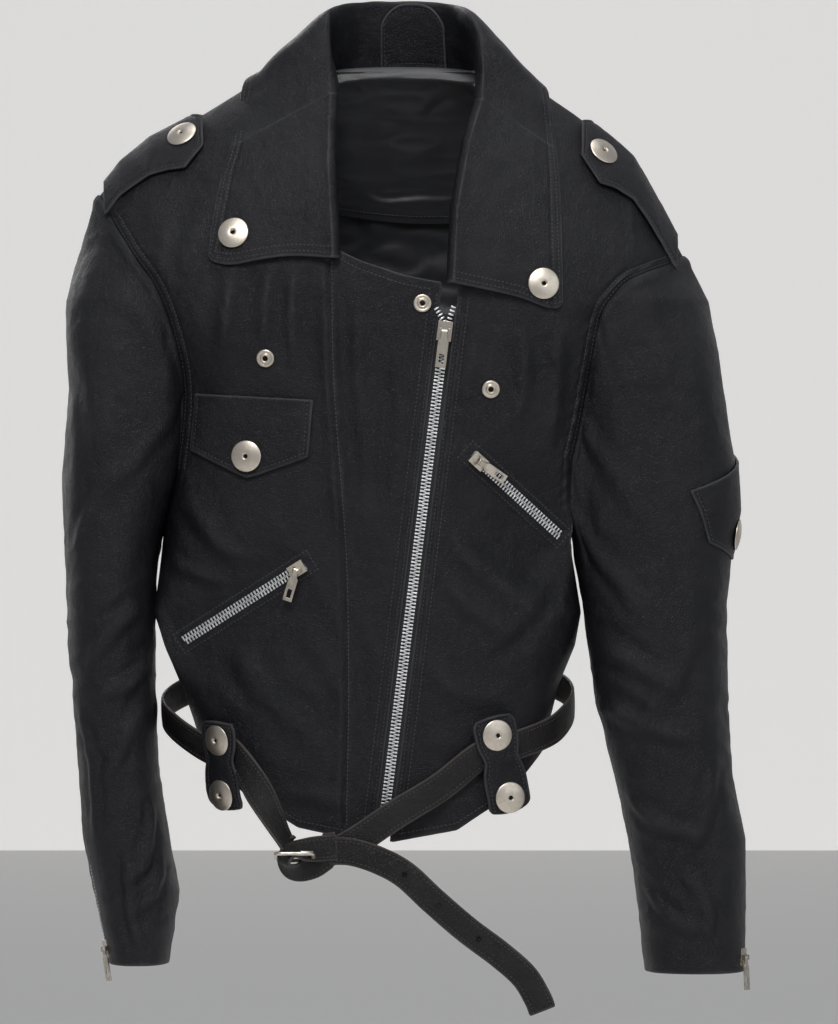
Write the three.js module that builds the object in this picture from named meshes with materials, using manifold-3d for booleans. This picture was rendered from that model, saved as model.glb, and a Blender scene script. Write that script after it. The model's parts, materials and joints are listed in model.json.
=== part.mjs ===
// A leather riding jacket hanging closed on a hanger, in millimetres.
// x runs to the wearer's left, y from front to back, z up.
// The origin is the hanger seat inside the back neck.
import * as THREE from 'three';
import { mergeVertices } from 'three/addons/utils/BufferGeometryUtils.js';
import Module from 'manifold-3d';

const wasm = await Module();
wasm.setup();

// Overall sizes.
const bodyWidth = 500; // across the shoulder tips
const bodyLength = 685; // hanger seat to the front hem
const sleeveLength = 650; // shoulder tip to cuff
const frontDepth = 102; // hanger line to the chest
const backDepth = 98; // hanger line to the back
const sleeveDepth = 146; // front to back at the upper arm

// Thicknesses and clearances.
const panelThick = 4.2; // leather with its facing
const liningAt = 4.9; // depth of the lining under the outer face
const liningThick = 1.6;
const layerThick = 2.6; // flaps, lapels, epaulettes and tabs
const fit = 0.3; // gap between touching pieces
const lie = 1; // gap under a loose layer
const flapLie = 1.7; // and under one that bends sharply
const capLift = 0.4; // of a cap over its leather

// Zips.
const chainWidth = 5.6;
const chainThick = 2.4;
const tapeThick = 1.4;
const sliderLength = 13;
const sliderWall = 1.5;
const pullLength = 24;
const pullWidth = 7;
const pullThick = 1.4;
const looseLength = 17; // of the open teeth above the main slider
const mainSlot = 16; // opening between the two front edges
const pocketSlot = 14;
const cuffSlot = 14;

// Press studs.
const capRadius = 12.5;
const capHeight = 3.4;
const studRadius = 7.5;
const studHeight = 3;

// Belt.
const strapWidth = 22;
const strapThick = 2.8;

// The outlines below are drawn for a body 500 wide and 685 long, and stretch with it.
const wide = bodyWidth / 500;
const long = bodyLength / 685;

// Height, edge on the wearer's right, edge on the wearer's left.
const bodyEdges = [
  [-136, -262, 238], [-188, -243, 238], [-205, -228, 222], [-242, -211, 181],
  [-300, -199, 165], [-370, -200, 148], [-430, -207, 139], [-490, -213, 150],
  [-518, -203, 145], [-552, -190, 131], [-600, -175, 119], [-690, -152, 108],
];
// Across, height of the shoulder line.
const shoulderLine = [
  [-262, -136], [-240, -108], [-216, -88], [-172, -65], [-135, -42], [-80, -22],
  [60, -22], [108, -40], [146, -66], [174, -88], [192, -104], [207, -130], [225, -163], [238, -188],
];
// Share of the half width, height of the hem.
const hemLine = [[-1, -606], [-0.8, -642], [-0.5, -670], [0, -684], [0.5, -672], [0.8, -645], [1, -606]];
const shoulderRise = 200; // height over which the chest fills out
const waistTaper = 0.0537; // loss of depth for each millimetre below the chest
const chestHeight = -250;

// Zip tracks on the front: upper end and lower end, across and height.
const mainTrack = { from: [34.5, -245], to: [-16.8, -657] };
const sidePocketTrack = { from: [-84, -449], to: [-187, -514] };
const chestPocketTrack = { from: [56, -357], to: [131, -425] };

// Sleeve rows: height below the shoulder tip, outer edge, inner edge,
// middle of the depth, share of the depth.
const rightSleeveRows = [
  [0, -268, -170, 0, 0.7], [-34, -277, -170, -2, 0.84], [-89, -287, -174, -4, 0.95],
  [-164, -284, -182, -6, 1], [-240, -289, -196, -8, 1], [-294, -288, -211, -10, 0.98],
  [-332, -286, -216, -12, 0.97], [-385, -283, -217, -14, 0.94], [-494, -274, -212, -20, 0.85],
  [-547, -270, -203, -24, 0.8], [-591, -261, -195, -27, 0.75], [-650, -249, -203, -30, 0.68],
];
const leftSleeveRows = [
  [0, 152, 244, 0, 0.66], [-38, 150, 260, -4, 0.84], [-105, 145, 267, -8, 0.9],
  [-175, 143, 279, -12, 0.91], [-216, 143, 281, -14, 0.9], [-255, 147, 275, -15, 0.87],
  [-297, 155.5, 271, -18, 0.85], [-385, 166.5, 271, -22, 0.8], [-444, 181, 276, -24, 0.76],
  [-494, 192, 287, -26, 0.72], [-543, 201, 287, -28, 0.69], [-605, 206, 286, -30, 0.65],
];
const rightTip = [-262, -136];
const leftTip = [240, -188];
const armholeFoot = -400; // lowest point of the armholes

const black = { color: 0x17191c, roughness: 0.55, metalness: 0 };
const finishes = {
  leather: black,
  lining: { color: 0x0d0e10, roughness: 0.8, metalness: 0 },
  nickel: { color: 0xb9b2a6, roughness: 0.3, metalness: 1 },
  teeth: { color: 0xc9cbcc, roughness: 0.35, metalness: 1 },
  tape: { color: 0x101113, roughness: 0.9, metalness: 0 },
  pad: { color: 0x8a8780, roughness: 1, metalness: 0 },
};

const vec = (x, y, z) => new THREE.Vector3(x, y, z);
const mix = (a, b, t) => a + (b - a) * t;
const clamp = (v) => Math.min(1, Math.max(0, v));
const ease = (v) => clamp(v) * clamp(v) * (3 - 2 * clamp(v));

// Value of a column in rows sorted by their first number, either way.
function lookUp(rows, at, column) {
  const down = rows[0][0] > rows[rows.length - 1][0];
  const past = (row) => (down ? row[0] <= at : row[0] >= at);
  const next = rows.findIndex(past);
  if (next === 0) return rows[0][column];
  if (next < 0) return rows[rows.length - 1][column];
  const a = rows[next - 1];
  const b = rows[next];
  return mix(a[column], b[column], (at - a[0]) / (b[0] - a[0]));
}

// ---- Solids ----

// A closed geometry from points and triangles, with its faces outward.
function closedGeometry(points, faces) {
  let volume = 0;
  for (const [a, b, c] of faces) volume += points[a].dot(vec(0, 0, 0).crossVectors(points[b], points[c]));
  const index = faces.flatMap(([a, b, c]) => (volume > 0 ? [a, b, c] : [a, c, b]));
  const geometry = new THREE.BufferGeometry();
  geometry.setAttribute('position', new THREE.Float32BufferAttribute(points.flatMap((p) => p.toArray()), 3));
  geometry.setIndex(index);
  return geometry;
}

// Rings of the same even count, joined up, and closed at each end by strips across the ring.
function loft(rings) {
  const n = rings[0].length;
  const faces = [];
  const quad = (a, b, c, d) => faces.push([a, b, c], [a, c, d]);
  for (let r = 0; r + 1 < rings.length; r += 1) {
    for (let i = 0; i < n; i += 1) {
      const j = (i + 1) % n;
      quad(r * n + i, r * n + j, (r + 1) * n + j, (r + 1) * n + i);
    }
  }
  const closeEnd = (first, turned) => {
    for (let i = 0; i < n / 2; i += 1) {
      const strip = [first + i, first + ((n - i) % n), first + n - i - 1, first + i + 1];
      const corners = [...new Set(strip)];
      if (turned) corners.reverse();
      if (corners.length === 3) faces.push(corners);
      if (corners.length === 4) quad(...corners);
    }
  };
  closeEnd(0, false);
  closeEnd((rings.length - 1) * n, true);
  return closedGeometry(rings.flat(), faces);
}

// A sheet with thickness over surface(s, t); low and high are measured from it, outward.
function sheet(columns, rows, surface, low, high, outward = vec(0, -1, 0)) {
  const step = 1e-3;
  const faceAt = (s, t) => {
    const s0 = Math.min(s, 1 - step);
    const t0 = Math.min(t, 1 - step);
    const base = surface(s0, t0);
    const along = surface(s0 + step, t0).sub(base);
    return along.cross(surface(s0, t0 + step).sub(base)).normalize();
  };
  const turn = faceAt(0.5, 0.5).dot(outward) < 0 ? -1 : 1;
  const rings = [];
  for (let c = 0; c <= columns; c += 1) {
    const line = [];
    for (let r = 0; r <= rows; r += 1) line.push([c / columns, r / rows]);
    const at = (lift) => ([s, t]) => surface(s, t).addScaledVector(faceAt(s, t), lift * turn);
    rings.push([...line.map(at(high)), ...line.reverse().map(at(low))]);
  }
  return loftRibbon(rings);
}

// Rings whose first half is one side of a sheet and whose second half is the other, turned back.
function loftRibbon(rings) {
  const n = rings[0].length;
  const faces = [];
  for (let r = 0; r + 1 < rings.length; r += 1) {
    for (let i = 0; i < n; i += 1) {
      const j = (i + 1) % n;
      const corners = [r * n + i, r * n + j, (r + 1) * n + j, (r + 1) * n + i];
      faces.push([corners[0], corners[1], corners[2]], [corners[0], corners[2], corners[3]]);
    }
  }
  for (const [first, turned] of [[0, true], [(rings.length - 1) * n, false]]) {
    for (let i = 0; i + 1 < n / 2; i += 1) {
      const corners = [first + i, first + i + 1, first + n - i - 2, first + n - i - 1];
      if (turned) corners.reverse();
      faces.push([corners[0], corners[1], corners[2]], [corners[0], corners[2], corners[3]]);
    }
  }
  return closedGeometry(rings.flat(), faces);
}

function solidOf(geometry) {
  const bare = geometry.clone();
  bare.deleteAttribute('normal');
  bare.deleteAttribute('uv');
  const merged = mergeVertices(bare, 1e-4);
  const corners = merged.index.array;
  const kept = [];
  for (let i = 0; i < corners.length; i += 3) {
    const [a, b, c] = [corners[i], corners[i + 1], corners[i + 2]];
    if (a !== b && b !== c && a !== c) kept.push(a, b, c);
  }
  const vertProperties = new Float32Array(merged.attributes.position.array);
  return new wasm.Manifold(new wasm.Mesh({ numProp: 3, vertProperties, triVerts: new Uint32Array(kept) }));
}

function geometryOf(solid) {
  const mesh = solid.getMesh();
  const geometry = new THREE.BufferGeometry();
  geometry.setAttribute('position', new THREE.BufferAttribute(new Float32Array(mesh.vertProperties), 3));
  geometry.setIndex(new THREE.BufferAttribute(new Uint32Array(mesh.triVerts), 1));
  return geometry;
}

// A box between two corners in a frame, as a geometry.
function boxIn(frame, low, high) {
  const size = high.clone().sub(low);
  const geometry = new THREE.BoxGeometry(size.x, size.y, size.z);
  geometry.translate(...low.clone().add(high).multiplyScalar(0.5).toArray());
  return geometry.applyMatrix4(frame);
}

const union = (...parts) => geometryOf(parts.map(solidOf).reduce((a, b) => a.add(b)));
const cut = (part, ...tools) => tools.reduce((rest, tool) => rest.subtract(solidOf(tool)), solidOf(part));

// The largest piece of a solid, where cutting leaves crumbs.
function largest(solid) {
  const pieces = solid.decompose();
  return pieces.reduce((best, piece) => (piece.volume() > best.volume() ? piece : best));
}

// ---- The body's surface ----

const shoulderTop = (x) => lookUp(shoulderLine, x, 1);

function bodySpan(z, inset) {
  const low = lookUp(bodyEdges, z, 1) + inset;
  const high = lookUp(bodyEdges, z, 2) - inset;
  return { middle: (low + high) / 2, half: (high - low) / 2 };
}

// How square the body's section is: squarer at the shoulders, rounder below the armholes.
function squareness(right, z) {
  return mix(right ? 2.6 : 3.4, 5, ease((z + 320) / 140));
}

function fullness(x, z, inset) {
  const { middle, half } = bodySpan(z, inset);
  const u = Math.min(1, Math.abs(x - middle) / half);
  const power = squareness(x < middle, z);
  return (1 - u ** power) ** (1 / power);
}

function depthAt(z, side) {
  const full = side < 0 ? frontDepth : backDepth;
  return full - waistTaper * Math.max(0, chestHeight - z);
}

const shoulderShare = (h) => (1 - (1 - clamp(h)) ** 1.8) ** 0.8;

// y of the front (side -1) or back (side 1), before the zips stiffen it.
function plainDepth(x, z, side, inset) {
  const rise = Math.max(0.012, (shoulderTop(x) - inset - z) / shoulderRise);
  return side * (depthAt(z, side) - inset) * fullness(x, z, inset) * shoulderShare(rise);
}

// How the leather lies straight along a zip.
function trackShare(track, x, z) {
  const [x0, z0] = track.from;
  const [x1, z1] = track.to;
  const reach = (x1 - x0) ** 2 + (z1 - z0) ** 2;
  const along = clamp(((x - x0) * (x1 - x0) + (z - z0) * (z1 - z0)) / reach);
  const away = Math.hypot(x - mix(x0, x1, along), z - mix(z0, z1, along));
  return { along, share: 1 - ease((away - 12) / 62) };
}

function frontDepthAt(x, z, inset = 0) {
  let y = plainDepth(x, z, -1, inset);
  for (const track of [mainTrack, sidePocketTrack, chestPocketTrack]) {
    const { along, share } = trackShare(track, x, z);
    const line = mix(plainDepth(...track.from, -1, inset), plainDepth(...track.to, -1, inset), along);
    y = mix(y, line, share);
  }
  return y;
}

// A point on the front, for drawn x and z, lifted outward along y.
const onFront = (x, z, lift = 0) => vec(x * wide, frontDepthAt(x, z) - lift, z * long);
const placed = (x, y, z) => vec(x * wide, y, z * long);

function bodyPoint(u, t, side, inset, extra) {
  const tip = bodySpan(-136, inset);
  const top = shoulderTop(tip.middle + tip.half * u) - 2;
  const hem = lookUp(hemLine, u, 1) - (t === 1 ? extra : 0);
  const z = Math.min(mix(top, hem, t ** 1.5), top - inset);
  const { middle, half } = bodySpan(z, inset);
  const x = middle + half * u;
  if (Math.abs(u) === 1) return placed(x, 0, z);
  return placed(x, side < 0 ? frontDepthAt(x, z, inset) : plainDepth(x, z, 1, inset), z);
}

// The solid that fills the body's outline, inset by some depth; extra lengthens it below the hem.
function bodyFill(inset, extra = 0) {
  const columns = 14;
  const rows = 11;
  const shares = [...Array(columns + 1).keys()].map((i) => -Math.cos((Math.PI * i) / columns));
  shares[0] = -1;
  shares[columns] = 1;
  const rings = [];
  for (let r = 0; r <= rows; r += 1) {
    const front = shares.map((u) => bodyPoint(u, r / rows, -1, inset, extra));
    const back = shares.slice(1, -1).reverse().map((u) => bodyPoint(u, r / rows, 1, inset, extra));
    rings.push([...front, ...back]);
  }
  return loft(rings);
}

// ---- Sleeves ----

const ringSides = 12;
const squared = (v) => Math.sign(v) * Math.abs(v) ** 0.86;

// What lies above the crown of a sleeve, which falls away to the front and the back like the shoulder.
function crownTool(tip) {
  const reach = 95;
  const fall = (y) => tip[1] * long - 0.02 * y * y;
  const shape = new THREE.Shape([new THREE.Vector2(-reach, 60), new THREE.Vector2(-reach, fall(reach))]);
  for (let y = -75; y <= 75; y += 25) shape.lineTo(y, fall(y));
  shape.lineTo(reach, fall(reach));
  shape.lineTo(reach, 60);
  const tool = new THREE.ExtrudeGeometry(shape, { depth: 800, bevelEnabled: false });
  return tool.rotateX(Math.PI / 2).rotateZ(Math.PI / 2).translate(-400, 0, 0);
}

function sleeveRing(rows, tip, z, inset) {
  const outer = lookUp(rows, z, 1);
  const inner = lookUp(rows, z, 2);
  const x = ((outer + inner) / 2) * wide;
  const halfX = (Math.abs(inner - outer) / 2) * wide - inset;
  const halfY = (sleeveDepth / 2) * lookUp(rows, z, 4) - inset;
  const height = tip[1] * long + (z * sleeveLength) / 650;
  const ring = [];
  for (let i = 0; i < ringSides; i += 1) {
    const angle = (Math.PI * 2 * i) / ringSides;
    const y = lookUp(rows, z, 3) + halfY * squared(Math.sin(angle));
    ring.push(vec(x + halfX * squared(Math.cos(angle)), y, height));
  }
  return ring;
}

// A point on a sleeve at some angle, counted from +x towards the back, in radians.
function onSleeve(rows, tip, angle, z) {
  const x = ((lookUp(rows, z, 1) + lookUp(rows, z, 2)) / 2) * wide;
  const halfX = (Math.abs(lookUp(rows, z, 1) - lookUp(rows, z, 2)) / 2) * wide;
  const halfY = (sleeveDepth / 2) * lookUp(rows, z, 4);
  const y = lookUp(rows, z, 3) + halfY * squared(Math.sin(angle));
  return vec(x + halfX * squared(Math.cos(angle)), y, tip[1] * long + (z * sleeveLength) / 650);
}

function sleeveFill(rows, tip, inset, extra) {
  const heights = rows.map((row) => row[0]);
  heights[0] -= inset;
  heights[heights.length - 1] -= extra;
  const shift = (ring, drop) => ring.map((p) => p.clone().setZ(p.z - drop));
  return loft(rows.map((row, i) => shift(sleeveRing(rows, tip, row[0], inset), row[0] - heights[i])));
}

// ---- Zips ----

// A frame at a with its x across, y along from a to b, z outward.
function frameAlong(a, b, outward) {
  const y = b.clone().sub(a).normalize();
  const x = vec(0, 0, 0).crossVectors(y, outward).normalize();
  const z = vec(0, 0, 0).crossVectors(x, y);
  return new THREE.Matrix4().makeBasis(x, y, z).setPosition(a);
}

function frontNormal(x, z) {
  const step = 4;
  const along = onFront(x + step, z).sub(onFront(x - step, z));
  const down = onFront(x, z - step).sub(onFront(x, z + step));
  return vec(0, 0, 0).crossVectors(down, along).normalize();
}

function facing(normal, like) {
  return normal.dot(like) < 0 ? normal.negate() : normal;
}

// The tape's face is a millimetre under the leather's face.
const tapeDepth = 1;

function frontTrack(track) {
  const a = onFront(...track.from);
  const b = onFront(...track.to);
  const middle = track.from.map((v, i) => (v + track.to[i]) / 2);
  const out = facing(frontNormal(...middle), vec(0, -1, 0));
  const frame = frameAlong(a, b, out);
  const lowered = frame.clone().multiply(new THREE.Matrix4().makeTranslation(0, 0, -tapeDepth));
  return { frame: lowered, length: a.distanceTo(b) };
}

const slotTool = ({ frame, length }, width, ends) =>
  boxIn(frame, vec(-width / 2, -ends, -20), vec(width / 2, length + ends, 20));

function tape({ frame, length }, width, ends) {
  const low = vec(-width / 2 + fit, -ends + fit, -tapeThick - fit);
  return boxIn(frame, low, vec(width / 2 - fit, length + ends - fit, -fit));
}

const chain = ({ frame, length }) =>
  boxIn(frame, vec(-chainWidth / 2, 1, 0), vec(chainWidth / 2, length - 1, chainThick));

// Where a pocket's tape and bag pass through the lining.
const bagTool = ({ frame, length }) =>
  solidOf(boxIn(frame, vec(-pocketSlot / 2, -3, -tapeThick - 2 * fit), vec(pocketSlot / 2, length + 3, 20)));

// The two loose ends of teeth above the slider.
function openTeeth({ frame }, spread) {
  return [-1, 1].map((side) => {
    const turn = new THREE.Matrix4().makeRotationZ(side * spread);
    const arm = boxIn(turn, vec(-chainWidth / 4, -looseLength, 0), vec(chainWidth / 4, 1.5, chainThick));
    return arm.translate((side * chainWidth) / 4, 1, 0).applyMatrix4(frame);
  });
}

const pullKnuckle = 4;
const pullTilt = 0.045; // so that a hanging pull clears a bulging panel

// Middle of the slider's plate, in the turned frame.
function earPlace(turn) {
  const middle = vec(0, sliderLength / 2, 0);
  return middle.applyAxisAngle(vec(0, 0, 1), -turn);
}

const earHeight = 3;
const sliderTop = chainThick + 0.4 + sliderWall;
const pullAxisHeight = sliderTop + 1.8;

// A slider that rides over the chain, with two ears for its pull; turn aims the ears.
function slider(frame, at, turn) {
  const half = chainWidth / 2 + 0.5;
  const here = frame.clone().multiply(new THREE.Matrix4().makeTranslation(0, at, 0));
  const ears = here.clone().multiply(new THREE.Matrix4().makeRotationZ(turn));
  const plateLow = vec(-half - sliderWall, 0, chainThick + 0.4);
  const plate = boxIn(here, plateLow, vec(half + sliderWall, sliderLength, sliderTop));
  const walls = [-1, 1].map((side) => {
    const a = side * half;
    const b = side * (half + sliderWall);
    return boxIn(here, vec(Math.min(a, b), 0, 0.1), vec(Math.max(a, b), sliderLength, chainThick + 0.6));
  });
  ears.multiply(new THREE.Matrix4().makeTranslation(...earPlace(turn).toArray()));
  const posts = [-1, 1].map((side) => {
    const a = side * (pullKnuckle / 2 + fit);
    const b = side * (pullKnuckle / 2 + fit + 1.2);
    const low = vec(Math.min(a, b), -1.8, sliderTop - 0.2);
    return boxIn(ears, low, vec(Math.max(a, b), 1.8, sliderTop + earHeight));
  });
  return union(plate, ...walls, ...posts);
}

function pull(frame, at, turn) {
  const here = frame.clone().multiply(new THREE.Matrix4().makeTranslation(0, at, 0));
  here.multiply(new THREE.Matrix4().makeRotationZ(turn));
  here.multiply(new THREE.Matrix4().makeTranslation(...earPlace(turn).setZ(pullAxisHeight).toArray()));
  here.multiply(new THREE.Matrix4().makeRotationX(pullTilt));
  const knuckle = new THREE.CylinderGeometry(1.2, 1.2, pullKnuckle, 6);
  knuckle.rotateZ(Math.PI / 2).applyMatrix4(here);
  const neck = pullKnuckle / 2;
  const side = pullWidth / 2;
  const outline = [
    [-neck, 0], [neck, 0], [neck, 5], [side, 7],
    [side, pullLength], [-side, pullLength], [-side, 7], [-neck, 5],
  ];
  const shape = new THREE.Shape(outline.map(([a, b]) => new THREE.Vector2(a, b)));
  const eyeEnds = [pullLength - 2.5, pullLength - 9];
  const eye = [[-1.6, eyeEnds[0]], [1.6, eyeEnds[0]], [1.6, eyeEnds[1]], [-1.6, eyeEnds[1]]];
  shape.holes.push(new THREE.Path(eye.map(([a, b]) => new THREE.Vector2(a, b))));
  const tag = new THREE.ExtrudeGeometry(shape, { depth: pullThick, bevelEnabled: false });
  tag.translate(0, 0, -pullThick / 2).applyMatrix4(here);
  return union(knuckle, tag);
}

// ---- Round metal ----

function turned(profile, segments, base, normal) {
  const geometry = new THREE.LatheGeometry(profile.map(([r, h]) => new THREE.Vector2(r, h)), segments);
  geometry.applyQuaternion(new THREE.Quaternion().setFromUnitVectors(vec(0, 1, 0), normal));
  geometry.translate(...base.toArray());
  return geometryOf(solidOf(geometry));
}

// Profiles from the middle of the back to the middle of the front: radius, height.
const capProfile = [
  [0, 0], [capRadius, 0], [capRadius, 0.9], [capRadius * 0.6, capHeight * 0.75],
  [2, capHeight], [1.2, capHeight - 1], [0, capHeight - 1],
];
const studProfile = [
  [0, 0], [studRadius, 0], [studRadius, 1.2], [studRadius - 1.6, 1.8],
  [3.4, 1.2], [3, studHeight], [1.4, studHeight], [1, 1.4], [0, 1.4],
];
const cap = (base, normal) => turned(capProfile, 10, base, normal);
const stud = (base, normal) => turned(studProfile, 8, base, normal);

// A place on a loose layer over the front, with its normal.
function layerPlace(x, z, above) {
  const normal = facing(frontNormal(x, z), vec(0, -1, 0));
  return { base: onFront(x, z).addScaledVector(normal, above), normal };
}

// ---- Assembly ----

const group = new THREE.Group();
group.name = 'riding_jacket';

function add(name, geometry, finish) {
  const mesh = new THREE.Mesh(geometry, new THREE.MeshStandardMaterial(finishes[finish]));
  mesh.name = name;
  group.add(mesh);
}

const zips = {
  main: frontTrack(mainTrack),
  side_pocket: frontTrack(sidePocketTrack),
  chest_pocket: frontTrack(chestPocketTrack),
};
const world = new THREE.Matrix4();
const block = (low, high) => boxIn(world, placed(...low), placed(...high));

// The neck opening between the lapels, and the hole that the collar stands on.
function neckTools() {
  const outline = [
    [-63, 60], [-63, -184], [-38, -196], [-2, -208], [26, -212], [50, -205], [64, -60], [64, 60],
  ];
  const shape = new THREE.Shape(outline.map(([x, z]) => new THREE.Vector2(x * wide, z * long)));
  const window = new THREE.ExtrudeGeometry(shape, { depth: 180, bevelEnabled: false });
  window.rotateX(Math.PI / 2).translate(0, 20, 0);
  return [window, block([-77, -70, -30], [72, 68, 30])];
}

function sleeveTools(inset) {
  const above = block([-400, -200, armholeFoot], [400, 200, 60]);
  const arms = [[rightSleeveRows, rightTip], [leftSleeveRows, leftTip]];
  return arms.map(([rows, tip]) => {
    const crown = crownTool(tip).translate(0, 0, -inset);
    return cut(sleeveFill(rows, tip, inset, 40), crown).intersect(solidOf(above));
  });
}

function buildBody() {
  const holes = neckTools();
  const arms = sleeveTools(panelThick);
  const skin = cut(bodyFill(0), bodyFill(panelThick, 60), ...holes);
  const shell = arms.reduce((s, arm) => s.subtract(arm), skin);
  const half = (low, high) => shell.intersect(solidOf(block(low, high)));
  add('back_panel', geometryOf(largest(half([-400, fit / 2, -800], [400, 300, 100]))), 'leather');
  const slots = [slotTool(zips.side_pocket, pocketSlot, 2), slotTool(zips.chest_pocket, pocketSlot, 2)];
  const frontHalf = half([-400, -300, -800], [400, -fit / 2, 100]);
  const front = slots.reduce((s, slot) => s.subtract(solidOf(slot)), frontHalf);
  // The seam between the fronts runs along the main zip, and on past its ends.
  const { frame, length } = zips.main;
  const leftOf = boxIn(frame, vec(mainSlot / 2, -400, -120), vec(600, length + 200, 120));
  const rightOf = boxIn(frame, vec(-600, -400, -120), vec(-mainSlot / 2, length + 200, 120));
  const sides = [leftOf, rightOf].map((side) => largest(front.intersect(solidOf(side))));
  sides.sort((a, b) => a.boundingBox().min[0] - b.boundingBox().min[0]);
  add('front_panel_right', geometryOf(sides[0]), 'leather');
  add('front_panel_left', geometryOf(sides[1]), 'leather');
  const inner = cut(bodyFill(liningAt), bodyFill(liningAt + liningThick, 60), ...holes);
  const kept = solidOf(block([-246, -300, -600], [176, 300, 100]));
  const bags = [zips.side_pocket, zips.chest_pocket].map(bagTool);
  const trimmed = bags.reduce((s, bag) => s.subtract(bag), inner.intersect(kept));
  add('lining', geometryOf(largest(arms.reduce((s, arm) => s.subtract(arm), trimmed))), 'lining');
}

function cuffTrack(rows, tip, side) {
  const span = side < 0 ? [-566, -644] : [-492, -600];
  const at = (z) => onSleeve(rows, tip, side < 0 ? -2.75 : -0.39, z);
  const a = at(span[0]);
  const b = at(span[1]);
  const out = vec(side * 0.85, -0.5, 0);
  const frame = frameAlong(a, b, out).multiply(new THREE.Matrix4().makeTranslation(0, 0, -tapeDepth));
  return { frame, length: a.distanceTo(b) };
}

const cuffs = {
  right: cuffTrack(rightSleeveRows, rightTip, -1),
  left: cuffTrack(leftSleeveRows, leftTip, 1),
};

function buildSleeves() {
  const body = union(bodyFill(-3 * fit), bodyFill(0));
  for (const [side, rows, tip] of [['right', rightSleeveRows, rightTip], ['left', leftSleeveRows, leftTip]]) {
    const crown = crownTool(tip);
    const lowCrown = crown.clone().translate(0, 0, -panelThick);
    const hollow = geometryOf(cut(sleeveFill(rows, tip, panelThick, 40), lowCrown));
    const outer = cut(sleeveFill(rows, tip, 0, 0), hollow, body, crown);
    const slot = slotTool(cuffs[side], cuffSlot, 3);
    add(`sleeve_${side}`, geometryOf(largest(outer.subtract(solidOf(slot)))), 'leather');
    const liningCrown = crown.clone().translate(0, 0, -liningAt);
    const innerCrown = crown.clone().translate(0, 0, -liningAt - liningThick);
    const arm = geometryOf(cut(sleeveFill(rows, tip, liningAt + liningThick, 40), innerCrown));
    const inner = cut(sleeveFill(rows, tip, liningAt, -12), arm, body, liningCrown);
    add(`sleeve_lining_${side}`, geometryOf(largest(inner)), 'lining');
    const cuff = cuffs[side];
    const barEnd = vec(chainWidth / 2, cuff.length - 1, chainThick);
    const bar = boxIn(cuff.frame, vec(-chainWidth / 2, 1, -0.5), barEnd);
    add(`cuff_zip_${side}`, union(tape(cuff, cuffSlot, 3), bar), 'teeth');
    add(`cuff_slider_${side}`, slider(cuff.frame, cuff.length - sliderLength, 0), 'nickel');
    add(`cuff_pull_${side}`, pull(cuff.frame, cuff.length - sliderLength, 0), 'nickel');
  }
}

// How far each pocket pull hangs away from its zip's line.
const pocketAim = { side: 0.7, chest: 0.12 };

function buildZips() {
  const { frame, length } = zips.main;
  add('main_zip_tape', tape(zips.main, mainSlot, 6), 'tape');
  add('main_zip_teeth', union(chain(zips.main), ...openTeeth(zips.main, 0.24)), 'teeth');
  add('main_zip_box', boxIn(frame, vec(-4.5, length - 0.6, 0), vec(4.5, length + 5, 4)), 'nickel');
  add('main_slider', slider(frame, 2, 0), 'nickel');
  add('main_pull', pull(frame, 2, 0), 'nickel');
  for (const [name, aim] of [['side_pocket', pocketAim.side], ['chest_pocket', pocketAim.chest]]) {
    const zip = zips[name];
    add(`${name}_tape`, tape(zip, pocketSlot, 2), 'tape');
    add(`${name}_teeth`, chain(zip), 'teeth');
    add(`${name}_slider`, slider(zip.frame, 1, aim), 'nickel');
    add(`${name}_pull`, pull(zip.frame, 1, aim), 'nickel');
  }
}

// ---- Collar and lapels ----

const roll = new THREE.CatmullRomCurve3([
  placed(-64, -54, -26), placed(-62, -34, 12), placed(-58, -12, 36), placed(-44, 34, 46), placed(-5, 54, 48),
  placed(34, 34, 44), placed(47, -12, 31), placed(61, -34, 2), placed(66, -54, -32),
]);
const fallEdge = new THREE.CatmullRomCurve3([
  placed(-146, -66, -86), placed(-141, -34, -62), placed(-133, 4, -33),
  placed(-100, 70, -42), placed(-5, 96, -50),
  placed(92, 70, -42), placed(118, 4, -40), placed(125, -38, -64), placed(127, -68, -88),
]);
const standFoot = new THREE.CatmullRomCurve3([
  placed(-72, -14, -32), placed(-58, 42, -26), placed(-5, 66, -24), placed(50, 42, -26), placed(66, -14, -32),
]);

function buildCollar() {
  const fall = (s, t) => {
    const p = roll.getPoint(s).lerp(fallEdge.getPoint(s), t);
    const over = Math.sin(Math.PI * t) * 6;
    return p.add(vec(0, 0, over));
  };
  const stand = (s, t) => roll.getPoint(0.25 + s * 0.5).lerp(standFoot.getPoint(s), t);
  const outer = sheet(20, 3, fall, 0, 3.2, vec(0, 0, 1));
  const inner = sheet(10, 2, stand, -1.4, 1.4, vec(0, -1, 0));
  const whole = cut(union(outer, inner), bodyFill(-fit));
  add('collar', geometryOf(largest(whole)), 'leather');
  const loop = (s, t) => stand(mix(0.46, 0.72, s), mix(0.2, 0.8, t));
  add('hang_loop', sheet(6, 2, loop, 3, 4.6, vec(0, -1, 0)), 'leather');
}

const lapels = {
  right: {
    inner: [[-64.7, -44], [-64.7, -110], [-61, -173], [-60.5, -191]],
    outer: [[-147, -92], [-154, -118], [-160, -150], [-165, -188]],
    cap: [-143, -172],
  },
  left: {
    inner: [[65.5, -48], [54.6, -91], [42, -151], [41, -212]],
    outer: [[127.5, -95], [130, -120], [131, -150], [131, -229]],
    cap: [115.5, -214],
  },
};

function polyline(points, t) {
  const span = clamp(t) * (points.length - 1);
  const i = Math.min(points.length - 2, Math.floor(span));
  return points[i].map((v, k) => mix(v, points[i + 1][k], span - i));
}

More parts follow.
